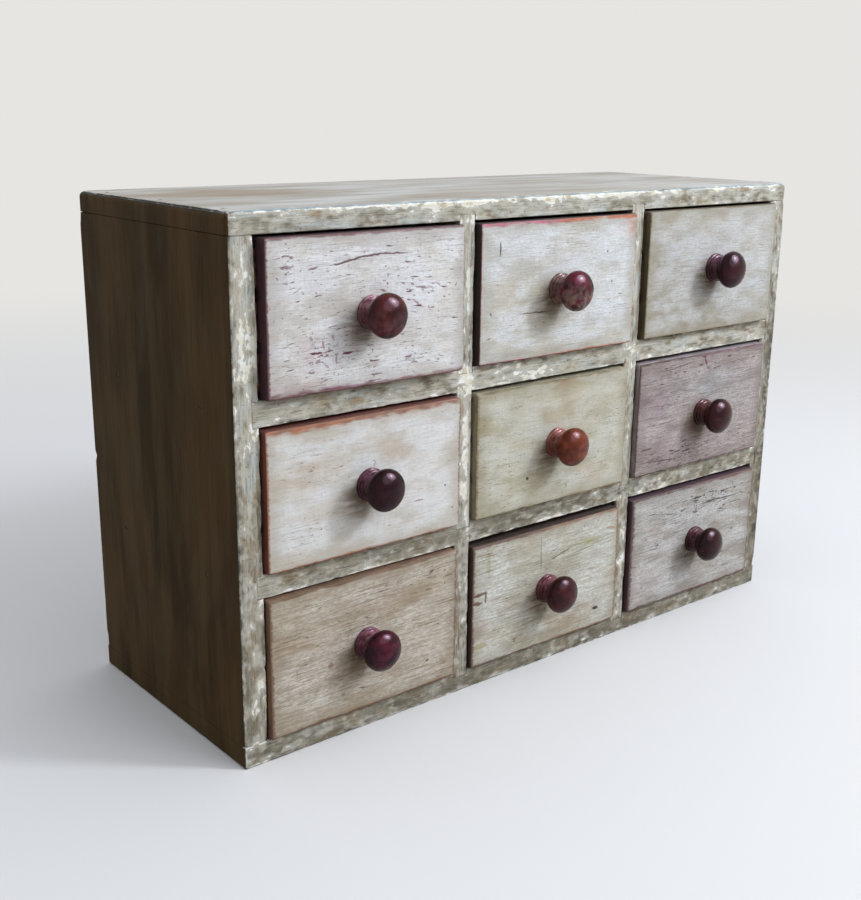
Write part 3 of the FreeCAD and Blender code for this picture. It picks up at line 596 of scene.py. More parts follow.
def washed_paint(name, place, box, knob, finish):
    """Thin distemper washed over older colours with a dry brush: it shows the brush's lines, the flecks of
    what lies under it, stains and small marks, and bare old paint along the edges. The brush's lines and the
    grain are about 1 mm wide, coarser than the real ones, so that they show."""
    material, tree = empty_tree(name)
    low, high = box
    order = DRAWERS.index(place)
    shift = (3.1 * order, 1.0, 2.3 * order)
    broad = field(tree, (70, 20, 30), 0.38, 0.62, detail=4, shift=shift)
    mottle = field(tree, (26, 8, 12), 0.42, 0.62, detail=6, shift=(shift[2], 2, 5))
    white = field(tree, (42, 8, 20), 0.42, 0.62, detail=5, shift=(1, 1, shift[0]))
    upright = field(tree, (1.2, 8, 16), 0.52, 0.68, shift=(shift[0], 5, 5))
    grain = field(tree, (22, 8, 0.9), 0.42, 0.66, shift=(8, 8, shift[0]))
    lines = field(tree, (30, 8, 1.2), 0.57, 0.68, shift=shift)
    short = field(tree, (8, 8, 1.6), 0.62, 0.72, shift=(5, 3, shift[0]))
    specks = field(tree, (2.4, 8, 2.0), 0.69, 0.75, detail=1, shift=(3, shift[0], 3))
    tooth = field(tree, (3.6, 8, 1.3), 0.36, 0.64, detail=4, shift=(shift[0], 9, 2))

    # The lines, the short strokes and the specks show most where the brush was busy.
    busy = field(tree, (60, 8, 34), 0.42, 0.64, shift=(4, shift[0], 4))
    lined, stroked, specked = [
        add(tree, "Math", [busy, most, least], **TIMES_PLUS)
        for most, least in ((0.45 * finish.brushed, 0.15 * finish.brushed), (0.6, 0.04), (0.4, 0.15))]

    stain = add(tree, "Attribute", attribute_name="stain").outputs
    uneven = field(tree, (14, 8, 4.0), 0.2, 0.55, detail=5, shift=(1, shift[2], 1))
    uneven = add(tree, "Math", [uneven, 0.6, 0.4], **TIMES_PLUS)

    at = whereabouts(tree)
    margin = worn_edges(tree, at, low, high, DRY_MARGIN)
    margin = ragged(tree, margin, cloud(tree, (40, 8, 24), detail=5, shift=shift), 1.2, 0.75, 1.55)
    grime = add(tree, "Attribute", attribute_name="grime").outputs["Fac"]
    smeared = field(tree, (18, 8, 4), 0.2, 0.6, detail=4, shift=(6, 6, shift[0]))

    # Old paint shows through in long dashes and in dots, which follow the board's figure.
    bowed = figure_space(tree, knob, ARCH.get(place, PLAIN_ARCH))
    flecks = add(tree, "Attribute", attribute_name="flecks").outputs["Fac"]
    dashes = cloud(tree, (11, 8, 2.1), detail=4, shift=(shift[0], 6, 4), space=bowed)
    dots = cloud(tree, (3.6, 8, 2.0), detail=2, shift=(2, shift[0], 7), space=bowed)
    dashes = ragged(tree, dashes, flecks, 0.24, 0.71, 0.79)
    dots = ragged(tree, dots, flecks, 0.22, 0.74, 0.83)
    bared = add(tree, "Math", [dashes, dots], **GREATER)
    faded = field(tree, (22, 8, 16), 0.35, 0.6, shift=(9, 1, 1))
    faded = add(tree, "Math", [faded, 0.4, 0.55], **TIMES_PLUS)

    sway = swayed_space(tree)
    marks = []
    for u, v, long, wide, turn, code, strength in MARKS[place]:
        centre = (low.x + u * (high.x - low.x), low.y, low.z + v * (high.z - low.z))
        marks.append((mark(tree, sway, centre, long, wide, turn), strength, linear(code)))

    across = add(tree, "MapRange", [at["X"], low.x, high.x])
    rightward = add(tree, "MapRange", [across, 0.40, 0.55], **SMOOTH)
    soiled = field(tree, (12, 8, 3), 0.4, 0.62, detail=4)
    old = coats(tree, finish.edge, (rightward, finish.far_edge), (soiled, 0.5, finish.dirt_and_shade))
    nibble = cloud(tree, (11, 6, 2.6), detail=5, shift=(2, 2, shift[0]))
    patchy = cloud(tree, (34, 6, 30), shift=(shift[0], 2, 2))
    edges = worn_edges(tree, at, low, high, WORN_EDGES[place])
    edges = add(tree, "Math", [patchy, 0.9, edges], **TIMES_PLUS)
    edges = ragged(tree, edges, nibble, 1.1, 1.22, 1.76)
    # A thin dark rim on the very edges: soiling, and painted shade of the gap round the front.
    rim = ragged(tree, worn_edges(tree, at, low, high, DIRT_AND_SHADE_RIM), patchy, 0.9, 0.80, 1.25)

    coat = coats(
        tree, finish.pale,
        (broad, finish.wash),
        (stain["Alpha"], uneven, stain["Color"]),
        (mottle, 0.36, finish.streak),
        (white, 0.70, finish.chalk),
        (tooth, 0.22 * finish.brushed, finish.streak),
        (grain, 0.26 * finish.brushed, finish.streak),
        (upright, 0.14, finish.streak),
        (lines, lined, finish.streak),
        (short, stroked, finish.dirt_and_shade),
        (specks, specked, finish.fleck),
        (margin, 0.5, finish.streak),
        # Soiling from handling, and the knob's painted shadow round the knob.
        (grime, smeared, finish.dirt_and_shade),
        (bared, faded, finish.fleck),
        *marks,
        (edges, 0.85, old),
        (rim, 0.8, finish.dirt_and_shade),
    )
    height = add(tree, "Math", [bared, -0.5], **TIMES)
    for part, rise in ((white, 0.3), (lines, -0.3), (short, -0.3)):
        height = add(tree, "Math", [part, rise, height], **TIMES_PLUS)
    return close(material, coat, 0.68, height, 0.3, specular=0.2)


def figure_space(tree, centre, arch):
    """Object coordinates bent so that what runs along x arches over a point, as the figure of a board does.
    arch is the drop at 10 mm from the point, in millimetres."""
    at = whereabouts(tree)
    aside = add(tree, "Math", [at["X"], centre.x], operation="SUBTRACT")
    square = add(tree, "Math", [aside, aside], **TIMES)
    raised = add(tree, "Math", [square, arch * MM / (10 * MM) ** 2, at["Z"]], **TIMES_PLUS)
    return add(tree, "CombineXYZ", [at["X"], at["Y"], raised])


SWAY = 1 * MM
ANY_DEPTH = 1000.0     # in metres, so that the distance along y is nothing


def swayed_space(tree):
    """Object coordinates moved by about SWAY, and unevenly, which makes outlines uneven."""
    wobble = cloud(tree, (4, 4, 4), detail=2).outputs["Color"]
    twice = (2 * SWAY, 2 * SWAY, 2 * SWAY)
    return add(tree, "VectorMath", [wobble, twice, add(tree, "TexCoord").outputs["Object"]], **TIMES_PLUS)


def mark(tree, sway, centre, long, wide, turn):
    """A small mark, the same at any depth: 1 inside its uneven outline and 0 outside. long and wide are in
    millimetres, and turn in degrees."""
    inside = add(tree, "Mapping", {
        "Vector": sway, "Location": (centre[0] + SWAY, centre[1], centre[2] + SWAY),
        "Rotation": (0, math.radians(-turn), 0), "Scale": (long / 2 * MM, ANY_DEPTH, wide / 2 * MM),
    }, vector_type="TEXTURE")
    distance = add(tree, "VectorMath", [inside], operation="LENGTH").outputs["Value"]
    return add(tree, "MapRange", [distance, 1.5, 0.8], **SMOOTH)


def worn_edges(tree, at, low, high, widths):
    """How near a point is to the worn edges: 1 at an edge, 0 at twice its width in millimetres."""
    top, bottom, left, right = [w * 2 * MM for w in widths]
    nearest = 0.0
    for axis, away, edge in (
            ("Z", high.z - top, high.z), ("Z", low.z + bottom, low.z),
            ("X", low.x + left, low.x), ("X", high.x - right, high.x)):
        band = add(tree, "MapRange", [at[axis], away, edge])
        nearest = add(tree, "Math", [nearest, band], **GREATER)
    return nearest


def end_grain_paint(name, tone, place):
    """Dark old paint on end grain, brushed thin: rough, with the grain's pores showing. The pores are drawn
    2 mm wide, coarser than the real ones, so that they show."""
    material, tree = empty_tree(name)
    order = DRAWERS.index(place)
    pores = field(tree, (2.0, 2.0, 1.2), 0.4, 0.7, shift=(order, 0, 0))
    clouds = field(tree, (12, 12, 20), 0.35, 0.7, detail=4, shift=(0, order, 0))
    darker = tuple(c * 0.6 for c in tone[:3]) + (1.0,)
    coat = coats(tree, tone, (clouds, darker), (pores, 0.5, darker))
    return close(material, coat, 0.7, pores, 0.3)


def bare_pine(name, along, tone="b08f63", deep="8a673f", painted=None):
    """Planed pine, bare and darkened by age: soft broad figure along the board, with narrow late-wood lines
    and fine dark pores, drawn coarser than the real ones so that they show. painted is the y at which paint
    from the front ends, and the paint's colour."""
    material, tree = empty_tree(name)
    rings = field(tree, lying(along, 160, 9), 0.4, 0.62, detail=2, distortion=0.8)
    late = field(tree, lying(along, 130, 2.6), 0.50, 0.64, detail=3, distortion=0.5)
    pores = field(tree, lying(along, 18, 0.9), 0.45, 0.75)
    dust = field(tree, (45, 45, 45), 0.4, 0.7, detail=4, shift=(3, 3, 3))
    coat = coats(
        tree, linear(tone),
        (rings, 0.6, linear(deep)),
        (late, 0.5, linear(deep)),
        (pores, 0.4, linear("5f4529")),
        (dust, 0.35, linear("75634a")),
    )
    if painted:
        end, over = painted
        broken = cloud(tree, (5, 14, 5), detail=4)
        covered = ragged(tree, whereabouts(tree)["Y"], broken, 6 * MM, end + 4 * MM, end + 3 * MM)
        coat = coats(tree, coat, (covered, over))
    return close(material, coat, 0.72, pores, 0.2)


def turned_lacquer(name, place, centre, finish):
    """Dark varnish over turned wood: a clear glossy coat, with the wood's streaks under it. The lower half
    of the knob is scuffed, and the collar is worn paler, and paler still on top with dust and a painted
    highlight. centre is where the knob stands on the drawer front."""
    material, tree = empty_tree(name)
    order = DRAWERS.index(place)
    shift = (1.7 * order, 2.0, 0.9 * order)
    at = whereabouts(tree)
    low_down = add(tree, "MapRange", [at["Z"], centre.z + 15 * MM, centre.z - 13 * MM], **SMOOTH)
    on_collar = add(tree, "MapRange", [at["Y"], centre.y - 13 * MM, centre.y - 9 * MM], **SMOOTH)
    on_top = add(tree, "MapRange", [at["Z"], centre.z - 3 * MM, centre.z + 11 * MM], **SMOOTH)
    streaks = field(
        tree, (20, 20, 4), 0.44, 0.62, detail=3, shift=shift, turn=(0, 0.9, 0), distortion=0.6)
    clouds = field(tree, (14, 14, 14), 0.38, 0.62, shift=shift)
    scuffs = field(tree, (6, 6, 6), 0.38, 0.64, detail=5, shift=(shift[2], 4, 1))
    # Paler on the top of the collar: dust, and a painted highlight.
    dust = field(tree, (5, 5, 5), 0.30, 0.62, detail=4, shift=shift)
    dust = add(tree, "Math", [dust, add(tree, "Math", [on_top, 0.7, 0.2], **TIMES_PLUS)], **TIMES)
    dust = add(tree, "Math", [dust, 0.8, 0.1], **TIMES_PLUS)
    coat = coats(
        tree, finish.knob,
        (clouds, finish.knob_deep),
        (streaks, 0.4, finish.knob_deep),
        (scuffs, low_down, finish.scuffed, finish.collar),
        (on_collar, dust, finish.collar),
    )
    smears = field(tree, (6, 6, 6), 0.3, 0.8)
    gloss = add(tree, "MapRange", {"Value": smears, "To Min": 0.20, "To Max": 0.30})
    gloss = add(tree, "Math", [on_collar, -0.08, gloss], **TIMES_PLUS)
    return close(material, coat, gloss, specular=0.12, **{
        "Specular Tint": linear("ffb8e0"), "Coat Weight": 0.18, "Coat Roughness": 0.12})


def rusted_iron(name):
    """Cut iron nails, dark and rough with rust."""
    material, tree = empty_tree(name)
    rust = field(tree, (1.5, 1.5, 1.5), 0.4, 0.6, detail=4)
    coat = coats(tree, linear("3a332d"), (rust, linear("6b4428")))
    return close(material, coat, 0.75, rust, 0.15, Metallic=0.55)


# ---- mesh tools ----
FAR = 10.0                   # stands for the distance to a side that doesn't count
FLAT = math.radians(0.5)     # faces that meet at less than this are one face
SHARP = math.radians(38)     # edges that turn more than this stay sharp in the shading
ALL_OPEN = {(axis, end): 1 for axis in (X, Y, Z) for end in (0, 1)}


def board_copy(node):
    """The frame's board as whole flat faces, ready to be cut finer."""
    bm = bmesh.new()
    bm.from_mesh(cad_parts[node].data)
    bmesh.ops.remove_doubles(bm, verts=bm.verts, dist=TOUCHING)
    bmesh.ops.dissolve_limit(bm, angle_limit=FLAT, verts=bm.verts, edges=bm.edges)
    return bm


def slice_at(bm, faces, axis, places):
    """Cut faces across an axis at rising places. Each cut meets only what lies ahead of the last one."""
    normal = Vector([float(axis == k) for k in range(3)])
    ahead = list(faces)
    for place in places:
        around = {e for f in ahead for e in f.edges} | {v for f in ahead for v in f.verts}
        cut = bmesh.ops.bisect_plane(
            bm, geom=ahead + list(around), dist=TOUCHING, plane_co=normal * place, plane_no=normal)["geom"]
        cut = [item for item in cut if isinstance(item, bmesh.types.BMFace)]
        ahead = [face for face in cut if face.calc_center_median()[axis] > place]


def even_places(low, high, pitch):
    """Evenly spaced cuts strictly between two ends."""
    count = max(1, round((high - low) / pitch))
    return [low + (high - low) * i / count for i in range(1, count)]


def rim_places(low, high, near, far):
    """Cuts beside the two ends, at the given distances from them."""
    return [low + c for c in near] + [high - c for c in reversed(far)]


def faces_where(bm, test):
    """The faces whose centre and normal pass a test."""
    return [f for f in bm.faces if test(f.calc_center_median(), f.normal)]


def roll(point, size, seed):
    """Smooth noise from about -1 to 1 whose bumps have the given size."""
    return noise.noise(point / size + Vector((seed * 7.3, seed * 1.9, seed * 4.1)))


def gaps(point, low, high, sides, least=0.0):
    """How far a point is inside a box along each axis, nearest first. Only the sides whose share is more than
    the least count."""
    found = []
    for k in range(3):
        below = point[k] - low[k] if sides.get((k, 0), 0.0) > least else FAR
        above = high[k] - point[k] if sides.get((k, 1), 0.0) > least else FAR
        found.append(min(below, above))
    return sorted(found)


def soften(bm, low, high, radius, seed, sides, corner=0.0):
    """Round the arrises of a box to an uneven worn radius, with nicks and rounder corners. sides gives
    each open side of the box its share of the radius, as (axis, end): share."""
    for v in bm.verts:
        p = v.co
        wear = 1.0 + 0.5 * roll(p, 30 * MM, seed + 3) + 0.5 * roll(p, 14 * MM, seed)
        wear += 0.45 * roll(p, 5 * MM, seed + 1)
        nick = max(0.0, roll(p, 9 * MM, seed + 2) - 0.36) * 5.0
        from_corner = max(0.0, gaps(p, low, high, sides)[2])
        r = radius * max(0.3, wear + nick) + corner * math.exp(-from_corner / (9 * MM))
        reach = {
            (k, end): min(r * sides.get((k, end), 0.0), 0.45 * (high[k] - low[k]))
            for k in range(3) for end in (0, 1)}
        out = Vector()
        for (k, end), depth in reach.items():
            inward = high[k] - p[k] if end else p[k] - low[k]
            if depth and inward < depth:
                out[k] = (1 - inward / depth) * (-1, 1)[end]
        if out.length > 1:
            for k in range(3):
                if out[k]:
                    end = int(out[k] > 0)
                    edge = (low, high)[end][k]
                    p[k] = edge - (-1, 1)[end] * reach[k, end] * (1 - abs(out[k]) / out.length)


def finish_piece(bm, name, materials, body, nodes):
    """Turn a mesh into a piece that rides on its body in place of the frame's nodes."""
    mesh = bpy.data.meshes.new(name)
    bm.normal_update()
    for face in bm.faces:
        face.smooth = True
    bm.to_mesh(mesh)
    bm.free()
    mesh.set_sharp_from_angle(angle=SHARP)
    for material in materials:
        mesh.materials.append(material)
    piece = bpy.data.objects.new(name, mesh)
    bpy.context.scene.collection.objects.link(piece)
    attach(piece, body)
    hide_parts(*nodes)
    return piece


# ---- carcass ----
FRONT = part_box("top_board")[0].y
FRONT_LOW = Vector((CAD_LOW.x, FRONT, CAD_LOW.z))
UPRIGHTS = [f"{row}_{side}_divider" for row in ROWS for side in ("left", "right")]
# The boards with a broad face in view, and the axis that the face looks along.
WHOLE = {"top_board": Z, "left_side": X, "right_side": X}
FRONT_ZONE = 7 * MM      # the paint reaches this far into the openings, and the mesh is fine this far
ARRIS_CUTS = [c * MM for c in (0.4, 1.0, 1.8, 3.0, 4.6, 6.6)]
JOINT_CUTS = ARRIS_CUTS[:2]
JOINT = 0.03             # share of the arris radius where a board's end meets another board
COARSE = 5 * MM          # mesh spacing away from the front
OUTSIDE = 2.5 * MM       # what is this near the cabinet's left or right is its outside
FACING = 0.6             # a face looks along an axis from this share of its normal on
WAVE = 0.12 * MM         # how unevenly a board was planed
FLAKE_FROM, FLAKE_OVER = 0.38, 0.12     # where a flake starts to stand up, and over how much more it does


def spread_at(places, p):
    """The summed strength at a point of the carcass front of soft round places."""
    worth = 0.0
    for x, z, along, up, strength in places:
        away = ((p.x / MM - x) / along) ** 2 + ((p.z / MM - z) / up) ** 2
        if away < 6:
            worth += strength * math.exp(-away)
    return worth


def nearness(point, low, high, reach, sides=ALL_OPEN):
    """1 on an arris between two open sides of a box, 0 at a reach from it or more."""
    return max(0.0, 1 - max(0.0, gaps(point, low, high, sides, JOINT)[1]) / reach)


def wear_fields(bm, low, high, along, sides):
    """Write on the mesh each point's flaking, rubbing, soiling and painted shade, and lift the flakes."""
    finish = bpy.context.scene.cabinet_carcass
    across = Z if along == X else X
    middle = (low[across] + high[across]) / 2
    crust, rub, grime = [bm.verts.layers.float.new(name) for name in ("crust", "rub", "grime")]
    for v in bm.verts:
        p = v.co
        stretched = Vector(p)
        stretched[along] *= 0.5
        near = nearness(p, low, high, 3 * MM, sides)
        in_front = p.y < FRONT + FRONT_ZONE
        # The lower arris of a rail and the right one of a stile flake the most.
        more = (p[across] > middle) == (along == Z)
        flaked = 0.14 + 0.40 * roll(stretched, 7 * MM, 1) + 0.26 * roll(stretched, 3 * MM, 2)
        flaked += near * (0.42 if more else 0.30) * (1 + 0.8 * roll(p, 40 * MM, 6))
        flaked += spread_at(FLAKED, p) if in_front else 0.0
        v[crust] = flaked
        v[rub] = nearness(p, CAD_LOW if p.y > 0 else FRONT_LOW, CAD_HIGH, 2.4 * MM)
        # Painted shade: darker the deeper a point lies inside an opening.
        deep = (p.y - FRONT - 0.5 * MM) / (3 * MM)
        # Dark patches along the arrises of the openings: soiling, and painted shade at the openings' edges.
        soiled = max(3.0 * near * (roll(stretched, 8 * MM, 4) - 0.05), 0.0)
        # The dark places listed above: soiling, and painted shade on the lower rails and the right stile.
        soiled += spread_at(DIRT_AND_SHADE_PLACES, p) if in_front else 0.0
        v[grime] = max(0.0, min(1.0, max(deep, soiled)))
        if p.y < FRONT + 0.3 * MM and near < 0.7:
            lift = min(1.0, max(0.0, (flaked - FLAKE_FROM) / FLAKE_OVER))
            v.co.y -= finish.flake * lift * (1 - near)


def worn_board(node, axis, sides, materials, paint_index, seed, setback=0.0):
    """A board of the carcass with worn arrises, cut fine along its front edge. sides gives the sides of
    its box whose arrises show, as (axis, end): share of the arris radius."""
    finish = bpy.context.scene.cabinet_carcass
    coarser = 1
    pitch = finish.pitch * coarser
    across = Z if axis == X else X
    outer = node in WHOLE
    bm = board_copy(node)
    low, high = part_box(node)

    def cuts_beside(k, end):
        if sides.get((k, end)) == 1:
            return ARRIS_CUTS
        return JOINT_CUTS if (k, end) in sides else []

    def in_front(c, n):
        return c.y < FRONT + FRONT_ZONE

    def on_face(c, n):
        return c.y < FRONT + 0.2 * MM

    def broad(c, n):
        return abs(n[WHOLE[node]]) > 0.9 and c.y > FRONT + FRONT_ZONE

    for k in range(3):
        places = rim_places(low[k], high[k], cuts_beside(k, 0), cuts_beside(k, 1))
        slice_at(bm, bm.faces[:], k, sorted(places + [FRONT + FRONT_ZONE]) if k == Y else places)
    slice_at(bm, faces_where(bm, in_front), axis, even_places(low[axis], high[axis], pitch))
    middle = even_places(low[across] + ARRIS_CUTS[-1], high[across] - ARRIS_CUTS[-1], pitch)
    slice_at(bm, faces_where(bm, on_face), across, middle)
    if outer:
        for way in (k for k in range(3) if k != WHOLE[node]):
            slice_at(bm, faces_where(bm, broad), way, even_places(low[way], high[way], COARSE * coarser))
    wear_fields(bm, low, high, axis, sides)
    radius, corner = (finish.outer_arris, finish.corner) if outer else (finish.arris, 0.0)
    soften(bm, low, high, radius, seed, sides, corner)
    for v in bm.verts:
        if v.co.y < FRONT + FRONT_ZONE:
            shallow = max(0.0, 1 - (v.co.y - FRONT) / FRONT_ZONE)
            v.co.y += shallow * (setback + WAVE * (1 + roll(v.co, 30 * MM, seed + 5)))
    for face in bm.faces:
        face.material_index = paint_index(face.calc_center_median(), face.normal)
    return finish_piece(bm, "worn_" + node, materials, "carcass", [node])


class CABINET_OT_carcass(Operator):
    """Make the worn boards of the carcass: top, bottom, sides, shelves and dividers"""

    bl_idname = "cabinet.carcass"
    bl_label = "Carcass"

    def execute(self, context):
        finish = context.scene.cabinet_carcass
        rail = flaking_paint("flaking_paint_rails", X, finish)
        stile = flaking_paint("flaking_paint_stiles", Z, finish)
        side = shaded_side_paint("brushed_paint_sides", finish)
        top = scrubbed_top_paint("scrubbed_paint_top", finish)
        pine_x = bare_pine("bare_pine_shelves", X)
        pine_y = bare_pine("bare_pine_uprights", Y)
        outer = {(X, 0): 1, (X, 1): 1, (Y, 0): 1, (Y, 1): 1}

        def outside(c):
            return min(c.x - CAD_LOW.x, CAD_HIGH.x - c.x) < OUTSIDE

        # From a face's centre and normal, each of these gives the place of its material in the board's list.
        def on_level(c, n):
            if n.z > FACING and c.z > CAD_HIGH.z / 2:
                return 1
            if outside(c) and abs(n.x) > FACING:
                return 2
            return 0 if c.y < FRONT + FRONT_ZONE else 3

        def on_side(c, n):
            if c.y < FRONT + FRONT_ZONE and (n.y < -FACING or not outside(c)):
                return 0
            return 1 if outside(c) else 2

        def inside(c, n):
            return 0 if c.y < FRONT + FRONT_ZONE else 1

        level = [rail, top, side, pine_x]
        worn_board("top_board", X, {**outer, (Z, 1): 1, (Z, 0): JOINT}, level, on_level, 11)
        worn_board("bottom_board", X, {**outer, (Z, 0): 1, (Z, 1): JOINT}, level, on_level, 12)
        upright = {**outer, (Z, 0): JOINT, (Z, 1): JOINT}
        worn_board("left_side", Z, upright, [stile, side, pine_y], on_side, 13)
        worn_board("right_side", Z, upright, [stile, side, pine_y], on_side, 14)
        shelf = {(Y, 0): 1, (Z, 0): 1, (Z, 1): 1, (X, 0): JOINT, (X, 1): JOINT}
        for i, name in enumerate(("upper_shelf", "lower_shelf")):
            worn_board(name, X, shelf, [rail, pine_x], inside, 21 + i, setback=0.2 * MM)
        divider = {(Y, 0): 1, (X, 0): 1, (X, 1): 1, (Z, 0): JOINT, (Z, 1): JOINT}
        for i, name in enumerate(UPRIGHTS):
            worn_board(name, Z, divider, [stile, pine_y], inside, 31 + i, setback=0.25 * MM)
        return {"FINISHED"}


def dress(node, material):
    """Give a frame node its finish."""
    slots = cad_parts[node].data.materials
    slots.clear()
    slots.append(material)


class CABINET_OT_back(Operator):
    """Finish the back boards and all nails, whose frame nodes stay as they are"""

    bl_idname = "cabinet.back"
    bl_label = "Back and nails"

    def execute(self, context):
        dress("back_boards", bare_pine("weathered_pine_back", X, "8c7350", "6a5234"))
        iron = rusted_iron("rusted_cut_iron")
        dress("back_nails", iron)
        dress("carcass_nails", iron)
        return {"FINISHED"}


class CABINET_OT_drawer_boxes(Operator):
    """Finish the bare pine of the drawer sides, backs and bottoms"""

    bl_idname = "cabinet.drawer_boxes"
    bl_label = "Drawer boxes"

    def execute(self, context):
        across = bare_pine("aged_pine_drawer_backs", X, "b39265", "8d6c43")
        thin = bare_pine("aged_pine_drawer_bottoms", X, "a98a5e", "86683f")
        for i, (row, column) in enumerate(DRAWERS):
            drawer = f"drawer_{row}_{column}"
            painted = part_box(drawer + "_front")[0].y + 12 * MM, context.scene.cabinet_drawers[i].ends
            sides = bare_pine(f"aged_pine_sides_{row}_{column}", Y, "b99a6c", "94744a", painted)
            dress(drawer + "_sides", sides)
            dress(drawer + "_back", across)
            dress(drawer + "_bottom", thin)
        return {"FINISHED"}


# ---- drawer fronts ----
FACE_PITCH = 2.2 * MM      # mesh spacing on the washed face
FACE_CUTS = ARRIS_CUTS[:4]
FACE_ARRIS = 1.1 * MM      # mean radius of the worn arrises
FACE_CORNER = 1.2 * MM     # how much rounder the corners are worn
RIM = 1.5 * MM             # what is this near the board's edges is outside, not in a socket or groove
FRONT_SIDES = {(Y, 0): 1, (X, 0): 1, (X, 1): 1, (Z, 0): 1, (Z, 1): 1}


def softly(u, v, x, y, reach_u, reach_v):
    """1 in the middle of a soft round place, and less the further a point is from it."""
    return math.exp(-((u - x) / reach_u) ** 2 - ((v - y) / reach_v) ** 2)


def fleck_at(places, u, v):
    """The summed strength at a point of soft round places."""
    return sum(strength * softly(u, v, *where) for *where, strength in places)


def stain_at(stains, u, v):
    """The mean colour and the strength of the stains at a point."""
    total = Vector((0, 0, 0))
    weight = 0.0
    for code, *where, strength in stains:
        worth = strength * softly(u, v, *where)
        total += Vector(linear(code)[:3]) * worth
        weight += worth
    mean = total / weight if weight > 1e-6 else total
    return (*mean, min(1.0, weight))


class CABINET_OT_drawer_fronts(Operator):
    """Make the nine washed drawer fronts with their worn arrises"""

    bl_idname = "cabinet.drawer_fronts"
    bl_label = "Drawer fronts"

    def execute(self, context):
        pine = bare_pine("aged_pine_front_backs", X)
        for i, place in enumerate(DRAWERS):
            self.front(context.scene.cabinet_drawers[i], i, place, pine)
        return {"FINISHED"}

    def front(self, finish, i, place, pine):
        """One front, cut fine over its face, with its paint."""
        row, column = place
        node = f"drawer_{row}_{column}_front"
        low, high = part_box(node)
        knob_low, knob_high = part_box(f"drawer_{row}_{column}_knob")
        knob = (knob_low + knob_high) / 2
        bm = board_copy(node)
        self.cut(bm, low, high)
        self.soil(bm, place, low, high, knob)
        soften(bm, low, high, FACE_ARRIS, 50 + i, FRONT_SIDES, FACE_CORNER)
        for v in bm.verts:
            if v.co.y < low.y + FACE_CUTS[-1]:
                v.co.y += WAVE * (1 + roll(v.co, 45 * MM, 60 + i))
        for f in bm.faces:
            centre = f.calc_center_median()
            rim = min(centre.x - low.x, high.x - centre.x, centre.z - low.z, high.z - centre.z) < RIM
            on_edge = max(abs(f.normal.x), abs(f.normal.z)) > 0.5 and centre.y < high.y - 0.2 * MM
            f.material_index = 0 if f.normal.y < -0.55 else 1 if on_edge and rim else 2
        wash = washed_paint(f"washed_distemper_{row}_{column}", place, (low, high), knob, finish)
        ends = end_grain_paint(f"dark_paint_ends_{row}_{column}", tuple(finish.ends), place)
        finish_piece(
            bm, f"worn_front_{row}_{column}", [wash, ends, pine], f"{row}_{column}_drawer", [node])

    def cut(self, bm, low, high):
        """Cut the board fine over its face and its arrises."""
        def in_front(c, n):
            return c.y < low.y + FACE_CUTS[-1]

        slice_at(bm, bm.faces[:], Y, [low.y + c for c in FACE_CUTS])
        pitch = FACE_PITCH * 1
        for axis in (X, Z):
            rims = rim_places(low[axis], high[axis], FACE_CUTS, FACE_CUTS)
            middle = even_places(low[axis] + FACE_CUTS[-1], high[axis] - FACE_CUTS[-1], pitch)
            slice_at(bm, faces_where(bm, in_front), axis, sorted(rims + middle))

    def soil(self, bm, place, low, high, knob):
        """Write on the mesh how stained, flecked and grimy each point is. Left of the knob and below it, the
        front is soiled by handling and carries the knob's painted shadow."""
        stain = bm.verts.layers.float_color.new("stain")
        flecks = bm.verts.layers.float.new("flecks")
        grime = bm.verts.layers.float.new("grime")
        for v in bm.verts:
            u = (v.co.x - low.x) / (high.x - low.x)
            w = (v.co.z - low.z) / (high.z - low.z)
            v[stain] = stain_at(STAINS[place], u, w)
            v[flecks] = fleck_at(FLECKED[place], u, w)
            # Soiled by handling, and the knob's painted shadow, below the knob and to its left.
            v[grime] = 0.9 * softly(v.co.x, v.co.z, knob.x - 8 * MM, knob.z - 8 * MM, 20 * MM, 16 * MM)


# ---- knobs ----
HEAD_FROM = 14 * MM     # the head is all that stands further out than this
SUNK = 0.15 * MM        # how far the collar sits in the worn face
UNEVEN = 0.1 * MM       # how uneven the head was turned


def knob_profile(shape, reach, head_radius, spigot):
    """(radius, height above the drawer front) along the outline of the turned knob, spigot first."""
    collar, collar_top = shape.collar_radius, shape.collar_height
    neck, root = shape.neck_radius, shape.neck_end
    widest = reach - shape.crown_depth
    points = [(0.0, -spigot), (5 * MM, -spigot), (5 * MM, 0.0), (collar - 0.3 * MM, 0.0), (collar, 0.3 * MM)]
    radius = collar
    for ring_top in (3 * MM, 6 * MM):
        for inward, upward in ((0, -0.7), (0.3, -0.3), (1.2, 0), (1.1, 0.4), (0.9, 0.8)):
            points.append((radius - inward * MM, ring_top + upward * MM))
        radius -= 0.9 * MM
    waist = (neck, (collar_top + root) / 2)
    flare = (neck + 1.8 * MM, root)
    full = (head_radius, widest)
    curves = [
        ((radius, collar_top), (radius - 0.9 * MM, collar_top + 0.7 * MM), (neck, waist[1] - MM), waist, 6),
        (waist, (neck, root - 1.2 * MM), (neck + 0.5 * MM, root - 0.3 * MM), flare, 6),
        (flare, (head_radius - 2.0 * MM, root + 1.0 * MM), (head_radius, widest - 3 * MM), full, 12),
        (full, (head_radius, widest + 5.4 * MM), (head_radius * 0.60, reach), (0.0, reach), 18),
    ]
    for *corners, count in curves:
        run = geometry.interpolate_bezier(*[Vector((*corner, 0)) for corner in corners], count)
        points += [(p.x, p.y) for p in run[1:]]
    return points


